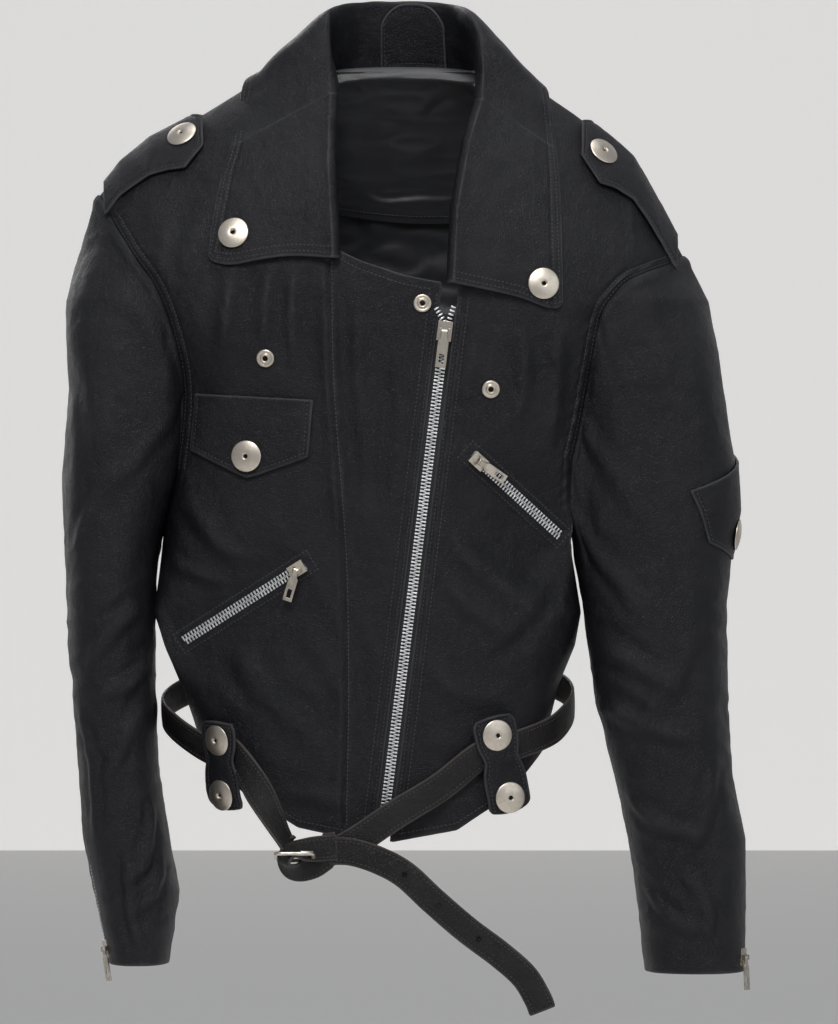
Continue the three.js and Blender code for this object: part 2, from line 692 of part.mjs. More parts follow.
function buildLapels() {
  for (const [side, { inner, outer, cap: at }] of Object.entries(lapels)) {
    const surface = (s, t) => {
      const a = polyline(inner, t);
      const b = polyline(outer, t);
      return onFront(mix(a[0], b[0], s), mix(a[1], b[1], s));
    };
    add(`lapel_${side}`, sheet(6, 6, surface, lie, lie + layerThick), 'leather');
    const { base, normal } = layerPlace(...at, lie + layerThick + capLift);
    add(`lapel_cap_${side}`, cap(base, normal), 'nickel');
  }
}

// ---- Flaps, studs, epaulettes, tabs ----

function buildFront() {
  const studs = { fly_stud: [14.7, -230], chest_stud_right: [-117, -276], chest_stud_left: [72, -302] };
  for (const [name, at] of Object.entries(studs)) {
    const { base, normal } = layerPlace(...at, capLift);
    add(name, stud(base, normal), 'nickel');
  }
  const top = [[-175, -306], [-78, -312]];
  const foot = [[-179, -352], [-133, -375], [-82, -358]];
  const flap = (s, t) => {
    const a = polyline(top, s);
    const b = polyline(foot, s);
    return onFront(mix(a[0], b[0], t), mix(a[1], b[1], t));
  };
  add('chest_flap', sheet(8, 3, flap, lie, lie + layerThick), 'leather');
  const { base, normal } = layerPlace(-132, -358, lie + layerThick + capLift);
  add('chest_flap_cap', cap(base, normal), 'nickel');
}

function shoulderPoint(x, y) {
  const { middle, half } = bodySpan(shoulderTop(x), 0);
  const power = squareness(x < middle, shoulderTop(x));
  const full = frontDepth * (1 - Math.min(0.999, Math.abs(x - middle) / half) ** power) ** (1 / power);
  const share = Math.min(0.97, Math.abs(y) / full);
  const h = 1 - (1 - share ** 1.25) ** (1 / 1.8);
  return placed(x, y, shoulderTop(x) - h * shoulderRise);
}

// Back edge, front edge from the outer end to the pointed end; then the cap.
const epaulettes = {
  right: {
    back: [[-253, 4], [-190, 4], [-172, -8]],
    front: [[-251, -22], [-186, -42], [-171, -34]],
    cap: [-188, -18],
  },
  left: {
    back: [[228, 4], [166, 4], [150, -8]],
    front: [[226, -24], [164, -46], [149, -38]],
    cap: [166, -24],
  },
};

function buildEpaulettes() {
  for (const [side, { back, front, cap: at }] of Object.entries(epaulettes)) {
    const surface = (s, t) => {
      const a = polyline(back, s);
      const b = polyline(front, s);
      return shoulderPoint(mix(a[0], b[0], t), mix(a[1], b[1], t));
    };
    const strip = sheet(8, 5, surface, flapLie, flapLie + layerThick, vec(0, 0, 1));
    add(`epaulette_${side}`, geometryOf(largest(cut(strip, bodyFill(-fit)))), 'leather');
    const here = shoulderPoint(...at);
    const along = shoulderPoint(at[0] + 4, at[1]).sub(shoulderPoint(at[0] - 4, at[1]));
    const down = shoulderPoint(at[0], at[1] + 6).sub(shoulderPoint(at[0], at[1] - 6));
    const normal = facing(along.cross(down).normalize(), vec(0, 0, 1));
    here.addScaledVector(normal, flapLie + layerThick + capLift);
    add(`epaulette_cap_${side}`, cap(here, normal), 'nickel');
  }
}

const padDepth = 8.5; // of a pad's upper face under the leather
const padThick = 6;
const padReach = 30; // to the front and to the back

function buildPads() {
  for (const [side, near, far] of [['right', -214, -160], ['left', 130, 184]]) {
    const surface = (s, t) => shoulderPoint(mix(near, far, s), mix(-padReach, padReach, t));
    add(`shoulder_pad_${side}`, sheet(3, 3, surface, -padDepth - padThick, -padDepth, vec(0, 0, 1)), 'pad');
  }
}

// The pocket flap that wraps the outside of the wearer's left sleeve.
function buildSleeveFlap() {
  const surface = (s, t) => {
    const angle = mix(-1.2, 0.35, s) + 0.3 * t;
    const foot = -242 - 14 * (1 - Math.abs(2 * s - 1));
    return onSleeve(leftSleeveRows, leftTip, angle, mix(mix(-200, -166, s), foot, t));
  };
  add('sleeve_flap', sheet(8, 4, surface, flapLie, flapLie + layerThick, vec(1, -0.5, 0)), 'leather');
  const here = surface(0.5, 0.72);
  const along = surface(0.6, 0.72).sub(surface(0.4, 0.72));
  const out = facing(along.cross(surface(0.5, 0.85).sub(surface(0.5, 0.6))).normalize(), vec(1, -0.5, 0));
  here.addScaledVector(out, flapLie + layerThick + capLift);
  add('sleeve_flap_cap', cap(here, out), 'nickel');
}

// Tabs: middle line from top to foot, across and height, and where their caps sit.
const tabs = {
  right: { top: [-152, -596], foot: [-149, -638], width: 34 },
  left: { top: [74, -592], foot: [84, -640], width: 34 },
};
const tabLift = 7.4; // room for the belt under a tab
const footStart = 8; // above the lower cap
const footLength = footStart + capRadius * 2 - 6;

// A tab's frame, from its upper cap down to its foot, with z out of the tab.
function tabFrame({ top, foot }) {
  const middle = [(top[0] + foot[0]) / 2, (top[1] + foot[1]) / 2];
  const out = facing(frontNormal(...middle), vec(0, -1, 0));
  const a = onFront(...top).addScaledVector(out, tabLift);
  const b = onFront(...foot).addScaledVector(out, tabLift);
  return { frame: frameAlong(a, b, out), reach: a.distanceTo(b), out };
}

function buildTabs() {
  for (const [side, tab] of Object.entries(tabs)) {
    const { frame, reach } = tabFrame(tab);
    const { width } = tab;
    const plate = boxIn(frame, vec(-width / 2, -14, 0), vec(width / 2, reach - footStart - fit, layerThick));
    add(`belt_tab_${side}`, plate, 'leather');
    const footEnd = reach - footStart + footLength;
    const footLow = vec(-width / 2, reach - footStart, -tabLift - 3);
    const footPlate = boxIn(frame, footLow, vec(width / 2, footEnd, layerThick));
    add(`belt_tab_foot_${side}`, geometryOf(largest(cut(footPlate, bodyFill(-fit)))), 'leather');
    const upper = vec(0, 0, layerThick + fit).applyMatrix4(frame);
    const lower = vec(0, reach - footStart + capRadius + fit, layerThick + fit).applyMatrix4(frame);
    const normal = vec(0, 0, 1).transformDirection(frame);
    add(`belt_tab_cap_${side}`, cap(upper, normal), 'nickel');
    add(`belt_foot_cap_${side}`, cap(lower, normal), 'nickel');
  }
}

// ---- Belt ----

// A flat strap along a route of points, each with the way its face looks.
function strap(route, steps, width) {
  const middle = new THREE.CatmullRomCurve3(route.map(([point]) => point));
  const looks = new THREE.CatmullRomCurve3(route.map(([, look]) => look));
  const rings = [];
  for (let i = 0; i <= steps; i += 1) {
    const p = middle.getPoint(i / steps);
    const along = middle.getTangent(i / steps);
    const across = vec(0, 0, 0).crossVectors(along, looks.getPoint(i / steps)).normalize();
    const face = vec(0, 0, 0).crossVectors(across, along).normalize();
    const corner = (a, f) =>
      p.clone().addScaledVector(across, (a * width) / 2).addScaledVector(face, (f * strapThick) / 2);
    rings.push([corner(-1, -1), corner(-1, 1), corner(1, 1), corner(1, -1)]);
  }
  return loftRibbon(rings);
}

// Where the belt passes under a tab.
function underTab(tab, across) {
  const { frame, reach, out } = tabFrame(tab);
  return [vec(across, reach * 0.28, -2.2 * lie - strapThick / 2).applyMatrix4(frame), out];
}

function beltRoute() {
  const front = (x, z, lift) => [onFront(x, z, lift), facing(frontNormal(x, z), vec(0, -1, 0))];
  const behind = (x, z, lift) => [placed(x, plainDepth(x, z, 1, 0) + lift, z), vec(x * 0.002, 1, 0)];
  const free = (x, y, z, ...look) => [placed(x, y, z), vec(...look)];
  return [
    free(-90, -101, -689, 0, -1, 0.2), front(-112, -668, 7),
    underTab(tabs.right, -15), underTab(tabs.right, 15),
    free(-196, -22, -588, -1, -0.3, 0), free(-206, 10, -572, -1, 0.2, 0), free(-178, 70, -556, -0.7, 0.7, 0),
    behind(-118, -548, 8), behind(-30, -545, 5), behind(60, -546, 7), free(122, 60, -552, 0.8, 0.6, 0),
    free(143, 8, -566, 1, 0, 0), free(128, -42, -588, 0.8, -0.6, 0),
    underTab(tabs.left, -15), underTab(tabs.left, 15), front(30, -636, 5), free(-8, -94, -659, 0, -1, 0),
    free(-50, -97, -686, 0, -1, 0), free(-73, -98, -689, 0, -1, 0),
  ];
}

const ahead = vec(0, -1, 0);
const tailRoute = [
  [placed(-46, -100.4, -693), ahead], [placed(-24, -101, -698), ahead], [placed(-4, -102.5, -710), ahead],
  [placed(20, -104, -729), ahead], [placed(50, -105, -752), ahead], [placed(80, -105, -776), ahead],
  [placed(104, -105, -799), ahead], [placed(115, -105, -820), ahead],
];

function buildBelt() {
  add('belt', strap(beltRoute(), 54, strapWidth), 'leather');
  add('belt_tail', strap(tailRoute, 14, strapWidth * 0.92), 'leather');
  buildBuckle();
}

const buckle = { x: -92, y: -118, z: -693, width: 34, depth: 28, wire: 3.4 };

function buildBuckle() {
  const { x, y, z, width, depth, wire } = buckle;
  const centre = placed(x, y, z);
  const frame = new THREE.Matrix4().makeRotationX(-0.3).setPosition(centre);
  const outer = boxIn(frame, vec(-width / 2, -depth / 2, -wire / 2), vec(width / 2, depth / 2, wire / 2));
  const holeLow = vec(-width / 2 + wire, -depth / 2 + wire, -5);
  const hole = boxIn(frame, holeLow, vec(width / 2 - wire, depth / 2 - wire, 5));
  add('buckle_frame', geometryOf(cut(outer, hole)), 'nickel');
  const prongLow = wire / 2 + fit;
  const prong = boxIn(frame, vec(-width / 2 - 2, -1.2, prongLow), vec(width / 2 + 1, 1.2, prongLow + 2.2));
  add('buckle_prong', prong, 'nickel');
  const keeper = placed(-64, -97.7, -688);
  const outerLoop = new THREE.BoxGeometry(9, 8, 29).translate(...keeper.toArray());
  const innerLoop = new THREE.BoxGeometry(12, 4, 24.6).translate(...keeper.toArray());
  add('belt_keeper', geometryOf(cut(outerLoop, innerLoop)), 'leather');
}

buildBody();
buildSleeves();
buildZips();
buildCollar();
buildLapels();
buildFront();
buildEpaulettes();
buildPads();
buildSleeveFlap();
buildTabs();
buildBelt();

export default group;
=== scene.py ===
import json
import math

import bmesh
import bpy
import numpy as np
from mathutils import Matrix, Vector


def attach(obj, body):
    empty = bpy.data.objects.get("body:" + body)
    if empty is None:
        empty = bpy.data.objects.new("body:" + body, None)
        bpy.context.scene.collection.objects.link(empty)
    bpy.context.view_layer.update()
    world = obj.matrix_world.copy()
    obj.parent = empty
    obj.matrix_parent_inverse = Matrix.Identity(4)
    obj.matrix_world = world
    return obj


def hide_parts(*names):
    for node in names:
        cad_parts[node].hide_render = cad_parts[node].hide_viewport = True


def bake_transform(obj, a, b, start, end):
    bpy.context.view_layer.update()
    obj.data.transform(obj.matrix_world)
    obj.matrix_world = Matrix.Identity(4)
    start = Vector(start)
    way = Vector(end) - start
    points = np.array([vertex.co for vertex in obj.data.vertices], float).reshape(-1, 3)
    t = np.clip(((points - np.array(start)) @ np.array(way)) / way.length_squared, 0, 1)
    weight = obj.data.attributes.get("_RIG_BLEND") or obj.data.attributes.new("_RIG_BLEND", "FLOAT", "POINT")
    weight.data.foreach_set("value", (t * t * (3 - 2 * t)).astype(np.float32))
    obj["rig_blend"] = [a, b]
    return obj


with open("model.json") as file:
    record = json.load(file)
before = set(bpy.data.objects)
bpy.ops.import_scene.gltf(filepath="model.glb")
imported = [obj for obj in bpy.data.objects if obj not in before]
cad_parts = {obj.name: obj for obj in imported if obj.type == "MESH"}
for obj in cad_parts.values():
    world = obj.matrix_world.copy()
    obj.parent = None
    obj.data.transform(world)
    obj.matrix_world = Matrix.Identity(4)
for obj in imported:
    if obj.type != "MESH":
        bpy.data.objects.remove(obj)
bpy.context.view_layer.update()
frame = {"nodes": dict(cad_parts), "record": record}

# Numbers, in millimetres in the frame's own axes.
bodyEdges = np.array([
    [-136, -262, 238], [-188, -243, 238], [-205, -228, 222], [-242, -211, 181],
    [-300, -199, 165], [-370, -200, 148], [-430, -207, 139], [-490, -213, 150],
    [-518, -203, 145], [-552, -190, 131], [-600, -175, 119], [-690, -152, 108]], float)[::-1]
shoulderLine = np.array([
    [-262, -136], [-240, -108], [-216, -88], [-172, -65], [-135, -42], [-80, -22], [60, -22],
    [108, -40], [146, -66], [174, -88], [192, -104], [207, -130], [225, -163], [238, -188]], float)
hemLine = np.array([
    [-1, -606], [-0.8, -642], [-0.5, -670], [0, -684], [0.5, -672], [0.8, -645], [1, -606]], float)
size = {"frontDepth": 102, "backDepth": 98, "sleeveDepth": 146, "panel": 2.4, "layer": 2.6}
tracks = {
    "main": {"from": (34.5, -245), "to": (-16.8, -657), "slot": 16, "ends": 6},
    "side": {"from": (-84, -449), "to": (-187, -514), "slot": 14, "ends": 2},
    "chest": {"from": (56, -357), "to": (131, -425), "slot": 14, "ends": 2},
}
rightSleeve = {
    "tip": (-262, -136), "sign": -1,
    "rows": np.array([
        [0, -268, -170, 0, .7], [-34, -277, -170, -2, .84], [-89, -287, -174, -4, .95],
        [-164, -284, -182, -6, 1], [-240, -289, -196, -8, 1], [-294, -288, -211, -10, .98],
        [-332, -286, -216, -12, .97], [-385, -283, -217, -14, .94], [-494, -274, -212, -20, .85],
        [-547, -270, -203, -24, .8], [-591, -261, -195, -27, .75], [-650, -249, -203, -30, .68]])[::-1],
    # across and height of the armhole seam, from the shoulder tip to the underarm
    "armhole": [(-262, -136), (-250, -158), (-232, -187), (-213, -214), (-201, -242), (-192, -276),
                (-189, -305), (-191, -336), (-195, -367), (-202, -400)],
    "underarm": -404,
}
leftSleeve = {
    "tip": (240, -188), "sign": 1,
    "rows": np.array([
        [0, 152, 244, 0, .66], [-38, 150, 260, -4, .84], [-105, 145, 267, -8, .9],
        [-175, 143, 279, -12, .91], [-216, 143, 281, -14, .9], [-255, 147, 275, -15, .87],
        [-297, 155.5, 271, -18, .85], [-385, 166.5, 271, -22, .8], [-444, 181, 276, -24, .76],
        [-494, 192, 287, -26, .72], [-543, 201, 287, -28, .69], [-605, 206, 286, -30, .65]])[::-1],
    "armhole": [(238, -188), (225, -196), (207, -203), (188, -212), (175, -226), (166, -242),
                (158, -284), (150, -328), (143, -360), (142, -400)],
    "underarm": -404,
}


# Small helpers.
def mix(a, b, t):
    return a + (b - a) * t


def ease(v):
    v = np.clip(v, 0, 1)
    return v * v * (3 - 2 * v)


def unit(v):
    v = np.asarray(v, float)
    return v / np.maximum(np.linalg.norm(v, axis=-1, keepdims=True), 1e-9)


def smoothPath(points, count):
    p = np.asarray(points, float)
    p = np.vstack([2 * p[0] - p[1], p, 2 * p[-1] - p[-2]])
    spans = len(p) - 3
    at = np.linspace(0, spans, count)
    i = np.minimum(at.astype(int), spans - 1)
    t = (at - i)[:, None]
    a, b, c, d = p[i], p[i + 1], p[i + 2], p[i + 3]
    return 0.5 * (2 * b + (c - a) * t + (2 * a - 5 * b + 4 * c - d) * t**2 + (3 * b - a - 3 * c + d) * t**3)


def polyPath(points, shares):
    p = np.asarray(points, float)
    step = np.linalg.norm(np.diff(p, axis=0), axis=1)
    at = np.concatenate([[0], np.cumsum(step)]) / step.sum()
    return np.stack([np.interp(shares, at, p[:, k]) for k in range(p.shape[1])], -1)


noiseSeed = np.random.default_rng(11)
noiseOrder = np.tile(noiseSeed.permutation(256), 3)
noiseSlopes = unit(noiseSeed.normal(size=(256, 3)))


# Gradient noise of about -1 to 1; stretch gives its cell size along each axis.
def noiseAt(points, stretch, shift=0.0):
    p = np.asarray(points, float) / np.asarray(stretch, float) + shift
    cell = np.floor(p).astype(int)
    f = p - cell
    w = f**3 * (f * (f * 6 - 15) + 10)
    total = np.zeros(p.shape[:-1])
    for corner in range(8):
        step = np.array([corner & 1, corner >> 1 & 1, corner >> 2 & 1])
        c = (cell + step) % 256
        pick = noiseOrder[noiseOrder[noiseOrder[c[..., 0]] + c[..., 1]] + c[..., 2]]
        share = np.prod(np.where(step, w, 1 - w), -1)
        total += share * ((f - step) * noiseSlopes[pick]).sum(-1)
    return total * 1.5


# Narrow raised creases between soft hollows.
def creases(points, stretch, shift=0.0):
    return 1 - np.abs(noiseAt(points, stretch, shift)) * 2.4


# Distance from a path drawn over the surface, and the share of the way along it.
def pathDistance(u, v, path):
    p = np.asarray(path, float)
    step = np.linalg.norm(np.diff(p, axis=0), axis=1)
    start = np.concatenate([[0], np.cumsum(step)])
    best = np.full(u.shape, 1e9)
    along = np.zeros(u.shape)
    for i in range(len(p) - 1):
        d = p[i + 1] - p[i]
        t = np.clip(((u - p[i, 0]) * d[0] + (v - p[i, 1]) * d[1]) / (d @ d), 0, 1)
        away = np.hypot(u - p[i, 0] - t * d[0], v - p[i, 1] - t * d[1])
        near = away < best
        best = np.where(near, away, best)
        along = np.where(near, (start[i] + t * step[i]) / start[-1], along)
    return best, along


# Soft folds: each has a path, a width and a height, negative for a hollow.
def foldLift(u, v, folds):
    lift = np.zeros(u.shape)
    for path, width, height in folds:
        away, along = pathDistance(u, v, smoothPath(path, 4 * len(path)))
        fade = ease(along / 0.3) * ease((1 - along) / 0.3)
        shape = np.exp(-(away / width)**2) - 0.35 * np.exp(-((away - 1.7 * width) / width)**2)
        lift += height * fade * shape
    return lift


# The body's surface.
def shoulderTop(x):
    return np.interp(x, shoulderLine[:, 0], shoulderLine[:, 1])


def bodySpan(z, inset=0):
    low = np.interp(z, bodyEdges[:, 0], bodyEdges[:, 1]) + inset
    high = np.interp(z, bodyEdges[:, 0], bodyEdges[:, 2]) - inset
    return (low + high) / 2, (high - low) / 2


def plainDepth(x, z, side, inset=0):
    middle, half = bodySpan(z, inset)
    u = np.minimum(1, np.abs(x - middle) / half)
    power = mix(np.where(x < middle, 2.6, 3.4), 5, ease((z + 320) / 140))
    fullness = (1 - u**power)**(1 / power)
    full = (size["frontDepth"] if side < 0 else size["backDepth"]) - 0.0537 * np.maximum(0, -250 - z)
    rise = np.clip((shoulderTop(x) - inset - z) / 200, 0, 1)
    return side * (full - inset) * fullness * (1 - (1 - rise)**1.8)**0.8


def trackShare(track, x, z):
    x0, z0 = track["from"]
    x1, z1 = track["to"]
    along = np.clip(((x - x0) * (x1 - x0) + (z - z0) * (z1 - z0)) / ((x1 - x0)**2 + (z1 - z0)**2), 0, 1)
    away = np.hypot(x - mix(x0, x1, along), z - mix(z0, z1, along))
    return along, away


def frontPlain(x, z, inset=0):
    x, z = np.broadcast_arrays(np.asarray(x, float), np.asarray(z, float))
    y = plainDepth(x, z, -1, inset)
    for track in tracks.values():
        along, away = trackShare(track, x, z)
        a = plainDepth(*[np.array(float(v)) for v in track["from"]], -1, inset)
        b = plainDepth(*[np.array(float(v)) for v in track["to"]], -1, inset)
        y = mix(y, mix(a, b, along), 1 - ease((away - 12) / 62))
    return y


# Where the leather is held flat: near the zips, under the studs and the tabs.
heldPlaces = [(14.7, -230, 16), (-117, -276, 14), (72, -302, 14), (-128, -340, 62),
              (-150, -616, 44), (79, -616, 44)]


def stillness(x, z):
    free = np.ones(np.shape(x))
    for track in tracks.values():
        _, away = trackShare(track, x, z)
        free *= ease((away - 9) / 34)
    for px, pz, reach in heldPlaces:
        free *= ease((np.hypot(x - px, z - pz) - reach * 0.6) / reach)
    return free


frontFolds = [
    ([(-142, -190), (-150, -235), (-156, -290)], 7, 3.2),
    ([(-112, -190), (-118, -232), (-120, -290)], 6, 3.0),
    ([(-92, -190), (-95, -240), (-92, -300)], 5, 2.2),
    ([(-68, -190), (-64, -280), (-56, -380), (-48, -450)], 8, 4.2),
    ([(-40, -210), (-38, -300), (-30, -400)], 7, 2.6), ([(-20, -260), (-14, -340), (-24, -430)], 6, -2.0),
    ([(-200, -330), (-176, -395), (-150, -440)], 9, 3.4),
    ([(-196, -380), (-160, -430), (-118, -450)], 7, 2.4),
    ([(-205, -440), (-178, -456), (-140, -470)], 6, 2.2),
    ([(-150, -120), (-175, -170), (-190, -220)], 10, 2.6),
    ([(-200, -150), (-205, -190), (-196, -230)], 8, 2.0),
    ([(-150, -500), (-120, -560), (-60, -610)], 10, 3.0),
    ([(-170, -540), (-120, -590), (-90, -600)], 8, 2.2), ([(-100, -480), (-60, -540), (-40, -600)], 9, 2.4),
    ([(-50, -470), (-34, -540), (-30, -620)], 7, -2.2), ([(-120, -640), (-70, -645), (-30, -655)], 7, 2.0),
    ([(60, -230), (52, -290), (40, -340)], 6, 2.4), ([(96, -240), (100, -290), (92, -345)], 7, 2.8),
    ([(126, -240), (130, -300), (122, -360)], 7, 3.0), ([(150, -250), (146, -320), (135, -385)], 8, 2.6),
    ([(20, -380), (40, -430), (90, -470), (130, -490)], 10, 3.0),
    ([(12, -440), (50, -480), (110, -520)], 9, 2.4),
    ([(5, -520), (50, -560), (100, -560)], 9, 2.6), ([(0, -590), (50, -600), (100, -590)], 8, 2.4),
    ([(140, -440), (110, -500), (60, -540)], 7, -2.0), ([(0, -640), (50, -648), (90, -640)], 7, 1.8),
]
# Panel seams, from end to end, as narrow furrows.
frontSeams = [
    [(-64, -196), (-62, -300), (-52, -440), (-50, -560), (-52, -668)],
]


def grainLift(points, amount):
    big = noiseAt(points, (70, 70, 110)) * 2.4 + noiseAt(points, (26, 30, 44), 3.1) * 1.1
    small = creases(points, (15, 18, 20), 7.7) * 0.45 + noiseAt(points, (6, 6, 7), 1.3) * 0.18
    return (big + small) * amount


def frontPoint(x, z, lift=0.0, inset=0.0):
    x, z = np.broadcast_arrays(np.asarray(x, float), np.asarray(z, float))
    y = frontPlain(x, z, inset)
    free = stillness(x, z) * ease((shoulderTop(x) - z) / 26)
    base = np.stack([x, y, z], -1)
    push = (foldLift(x, z, frontFolds) + grainLift(base, 0.8)) * free
    for seam in frontSeams:
        away, _ = pathDistance(x, z, seam)
        push -= 1.6 * np.exp(-(away / 1.6)**2)
        push += 0.5 * np.exp(-((away - 4) / 3)**2)
    _, away = trackShare(tracks["main"], x, z)
    for row in (10.2, 16.5):
        push -= 0.5 * np.exp(-((away - row) / 1.5)**2)
    push += 0.7 * np.exp(-((away - 13.3) / 2)**2) + 0.5 * np.exp(-((away - 8.6) / 1.2)**2)
    for key in ("side", "chest"):
        _, away = trackShare(tracks[key], x, z)
        push += 0.8 * np.exp(-((away - 8.0) / 1.4)**2) - 0.5 * np.exp(-((away - 10.6) / 1.5)**2)
    for hole in armholes:
        away, _ = pathDistance(x, z, hole)
        push += 0.6 * np.exp(-((away - 5.9) / 1.8)**2) - 0.5 * np.exp(-((away - 9.4) / 1.5)**2)
        # puckers pulled in by the stitching
        push += 0.35 * np.sin((x - z) * 0.55) * np.exp(-((away - 9) / 5)**2)
    middle, half = bodySpan(z)
    u = np.abs(x - middle) / half
    push *= ease((1.02 - u) / 0.12)
    return np.stack([x, y - push - lift, z], -1)


armholes = [smoothPath(sleeve["armhole"], 30) for sleeve in (rightSleeve, leftSleeve)]

backFolds = [
    ([(-180, -180), (-120, -230), (-60, -250)], 12, 3.0), ([(160, -220), (100, -260), (40, -270)], 12, 3.0),
    ([(-150, -330), (-140, -450), (-120, -560)], 10, 3.4), ([(110, -330), (100, -450), (80, -560)], 10, 3.4),
    ([(-60, -380), (-50, -480), (-60, -600)], 9, 2.6), ([(30, -360), (26, -470), (30, -600)], 9, 2.6),
    ([(-130, -560), (-40, -590), (60, -570)], 9, 2.4), ([(-90, -640), (0, -650), (60, -640)], 7, 2.0),
]
backSeams = [[(-205, -262), (-100, -262), (-15, -263), (100, -262), (170, -262)],
             [(-15, -263), (-15, -400), (-18, -560), (-20, -684)]]


def backPoint(x, z, lift=0.0, inset=0.0):
    x, z = np.broadcast_arrays(np.asarray(x, float), np.asarray(z, float))
    y = plainDepth(x, z, 1, inset)
    base = np.stack([x, y, z], -1)
    push = (foldLift(x, z, backFolds) + grainLift(base, 0.8)) * ease((shoulderTop(x) - z) / 26)
    for seam in backSeams:
        away, _ = pathDistance(x, z, seam)
        push -= 1.5 * np.exp(-(away / 1.6)**2)
    middle, half = bodySpan(z)
    u = np.abs(x - middle) / half
    push *= ease((1.02 - u) / 0.12)
    return np.stack([x, y + push + lift, z], -1)


def hemHeight(x):
    z = np.full(np.shape(x), -650.0)
    for _ in range(6):
        middle, half = bodySpan(z)
        z = np.interp(np.clip((x - middle) / half, -1, 1), hemLine[:, 0], hemLine[:, 1])
    return z


# Building meshes.
def gridNormals(points, cyclic):
    if cyclic:
        along = np.roll(points, -1, 0) - np.roll(points, 1, 0)
    else:
        along = np.gradient(points, axis=0)
    down = np.gradient(points, axis=1)
    return unit(np.cross(along, down))


# Normals of a grid, smoothed so that thick creases don't cross, on the side that outward points to.
def outwardNormals(points, outward, cyclic=False):
    soft = gridNormals(points, cyclic)
    for _ in range(2):
        blurred = soft.copy()
        blurred[:, 1:-1] = (soft[:, :-2] + soft[:, 1:-1] * 2 + soft[:, 2:]) / 4
        if cyclic:
            soft = unit(np.roll(blurred, 1, 0) + 2 * blurred + np.roll(blurred, -1, 0))
        else:
            soft[1:-1] = unit(blurred[:-2] + 2 * blurred[1:-1] + blurred[2:])
    middle = (points.shape[0] // 2, points.shape[1] // 2)
    if (soft[middle] @ np.asarray(outward, float)) < 0:
        soft = -soft
    return soft


# A closed sheet: the outer face is the grid, the inner lies thick behind it, with a rounded rim.
def sheetMesh(name, points, thick, outward, cyclic=False, rimSteps=3):
    n, m = points.shape[:2]
    normal = outwardNormals(points, outward, cyclic)
    verts = [points.reshape(-1, 3), (points - normal * thick).reshape(-1, 3)]
    count = n * m
    index = np.arange(count).reshape(n, m)
    quads = []
    wrap = n if cyclic else n - 1
    i = np.arange(wrap)
    j = np.arange(m - 1)
    a = index[i][:, j]
    b = index[(i + 1) % n][:, j]
    c = index[(i + 1) % n][:, j + 1]
    d = index[i][:, j + 1]
    outer = np.stack([a, b, c, d], -1).reshape(-1, 4)
    # is this order facing outward?
    p = points.reshape(-1, 3)
    probe = outer[len(outer) // 2]
    face = np.cross(p[probe[1]] - p[probe[0]], p[probe[3]] - p[probe[0]])
    flip = face @ normal.reshape(-1, 3)[probe[0]] < 0
    if flip:
        outer = outer[:, ::-1]
    quads += [outer, outer[:, ::-1] + count]
    if cyclic:
        loops = [index[:, 0], index[:, -1][::-1]]
    else:
        loops = [np.concatenate([index[:-1, 0], index[-1, :-1], index[:0:-1, -1], index[0, :0:-1]])]
    used = 2 * count
    flatNormal = normal.reshape(-1, 3)
    centre = p.mean(0)
    for loop in loops:
        edge = p[loop]
        tangent = unit(np.roll(edge, -1, 0) - np.roll(edge, 1, 0))
        out = unit(np.cross(tangent, flatNormal[loop]))
        if cyclic:
            near = p[index[:, 1]] if loop[0] == index[0, 0] else p[index[:, -2][::-1]]
            if ((edge - near) * out).sum() < 0:
                out = -out
        elif ((edge - centre) * out).sum() < 0:
            out = -out
        rings = [loop]
        radius = thick / 2
        for k in range(1, rimSteps + 1):
            angle = math.pi * k / (rimSteps + 1)
            ring = edge - flatNormal[loop] * radius * (1 - math.cos(angle)) + out * radius * math.sin(angle)
            verts.append(ring)
            rings.append(np.arange(used, used + len(loop)))
            used += len(loop)
        rings.append(loop + count)
        for r0, r1 in zip(rings, rings[1:]):
            quads.append(np.stack([r0, np.roll(r0, -1), np.roll(r1, -1), r1], -1))
    return meshObject(name, np.vstack(verts), np.vstack(quads))


def meshObject(name, verts, faces, smooth=True):
    mesh = bpy.data.meshes.new(name)
    mesh.from_pydata((np.asarray(verts) * 0.001).tolist(), [], [tuple(int(i) for i in f) for f in faces])
    mesh.validate()
    obj = bpy.data.objects.new(name, mesh)
    bpy.context.scene.collection.objects.link(obj)
    faceOutward(obj)
    if smooth:
        mesh.polygons.foreach_set("use_smooth", [True] * len(mesh.polygons))
    return obj


def faceOutward(obj):
    work = bmesh.new()
    work.from_mesh(obj.data)
    bmesh.ops.recalc_face_normals(work, faces=work.faces)
    if work.calc_volume(signed=True) < 0:
        bmesh.ops.reverse_faces(work, faces=work.faces)
    work.to_mesh(obj.data)
    work.free()


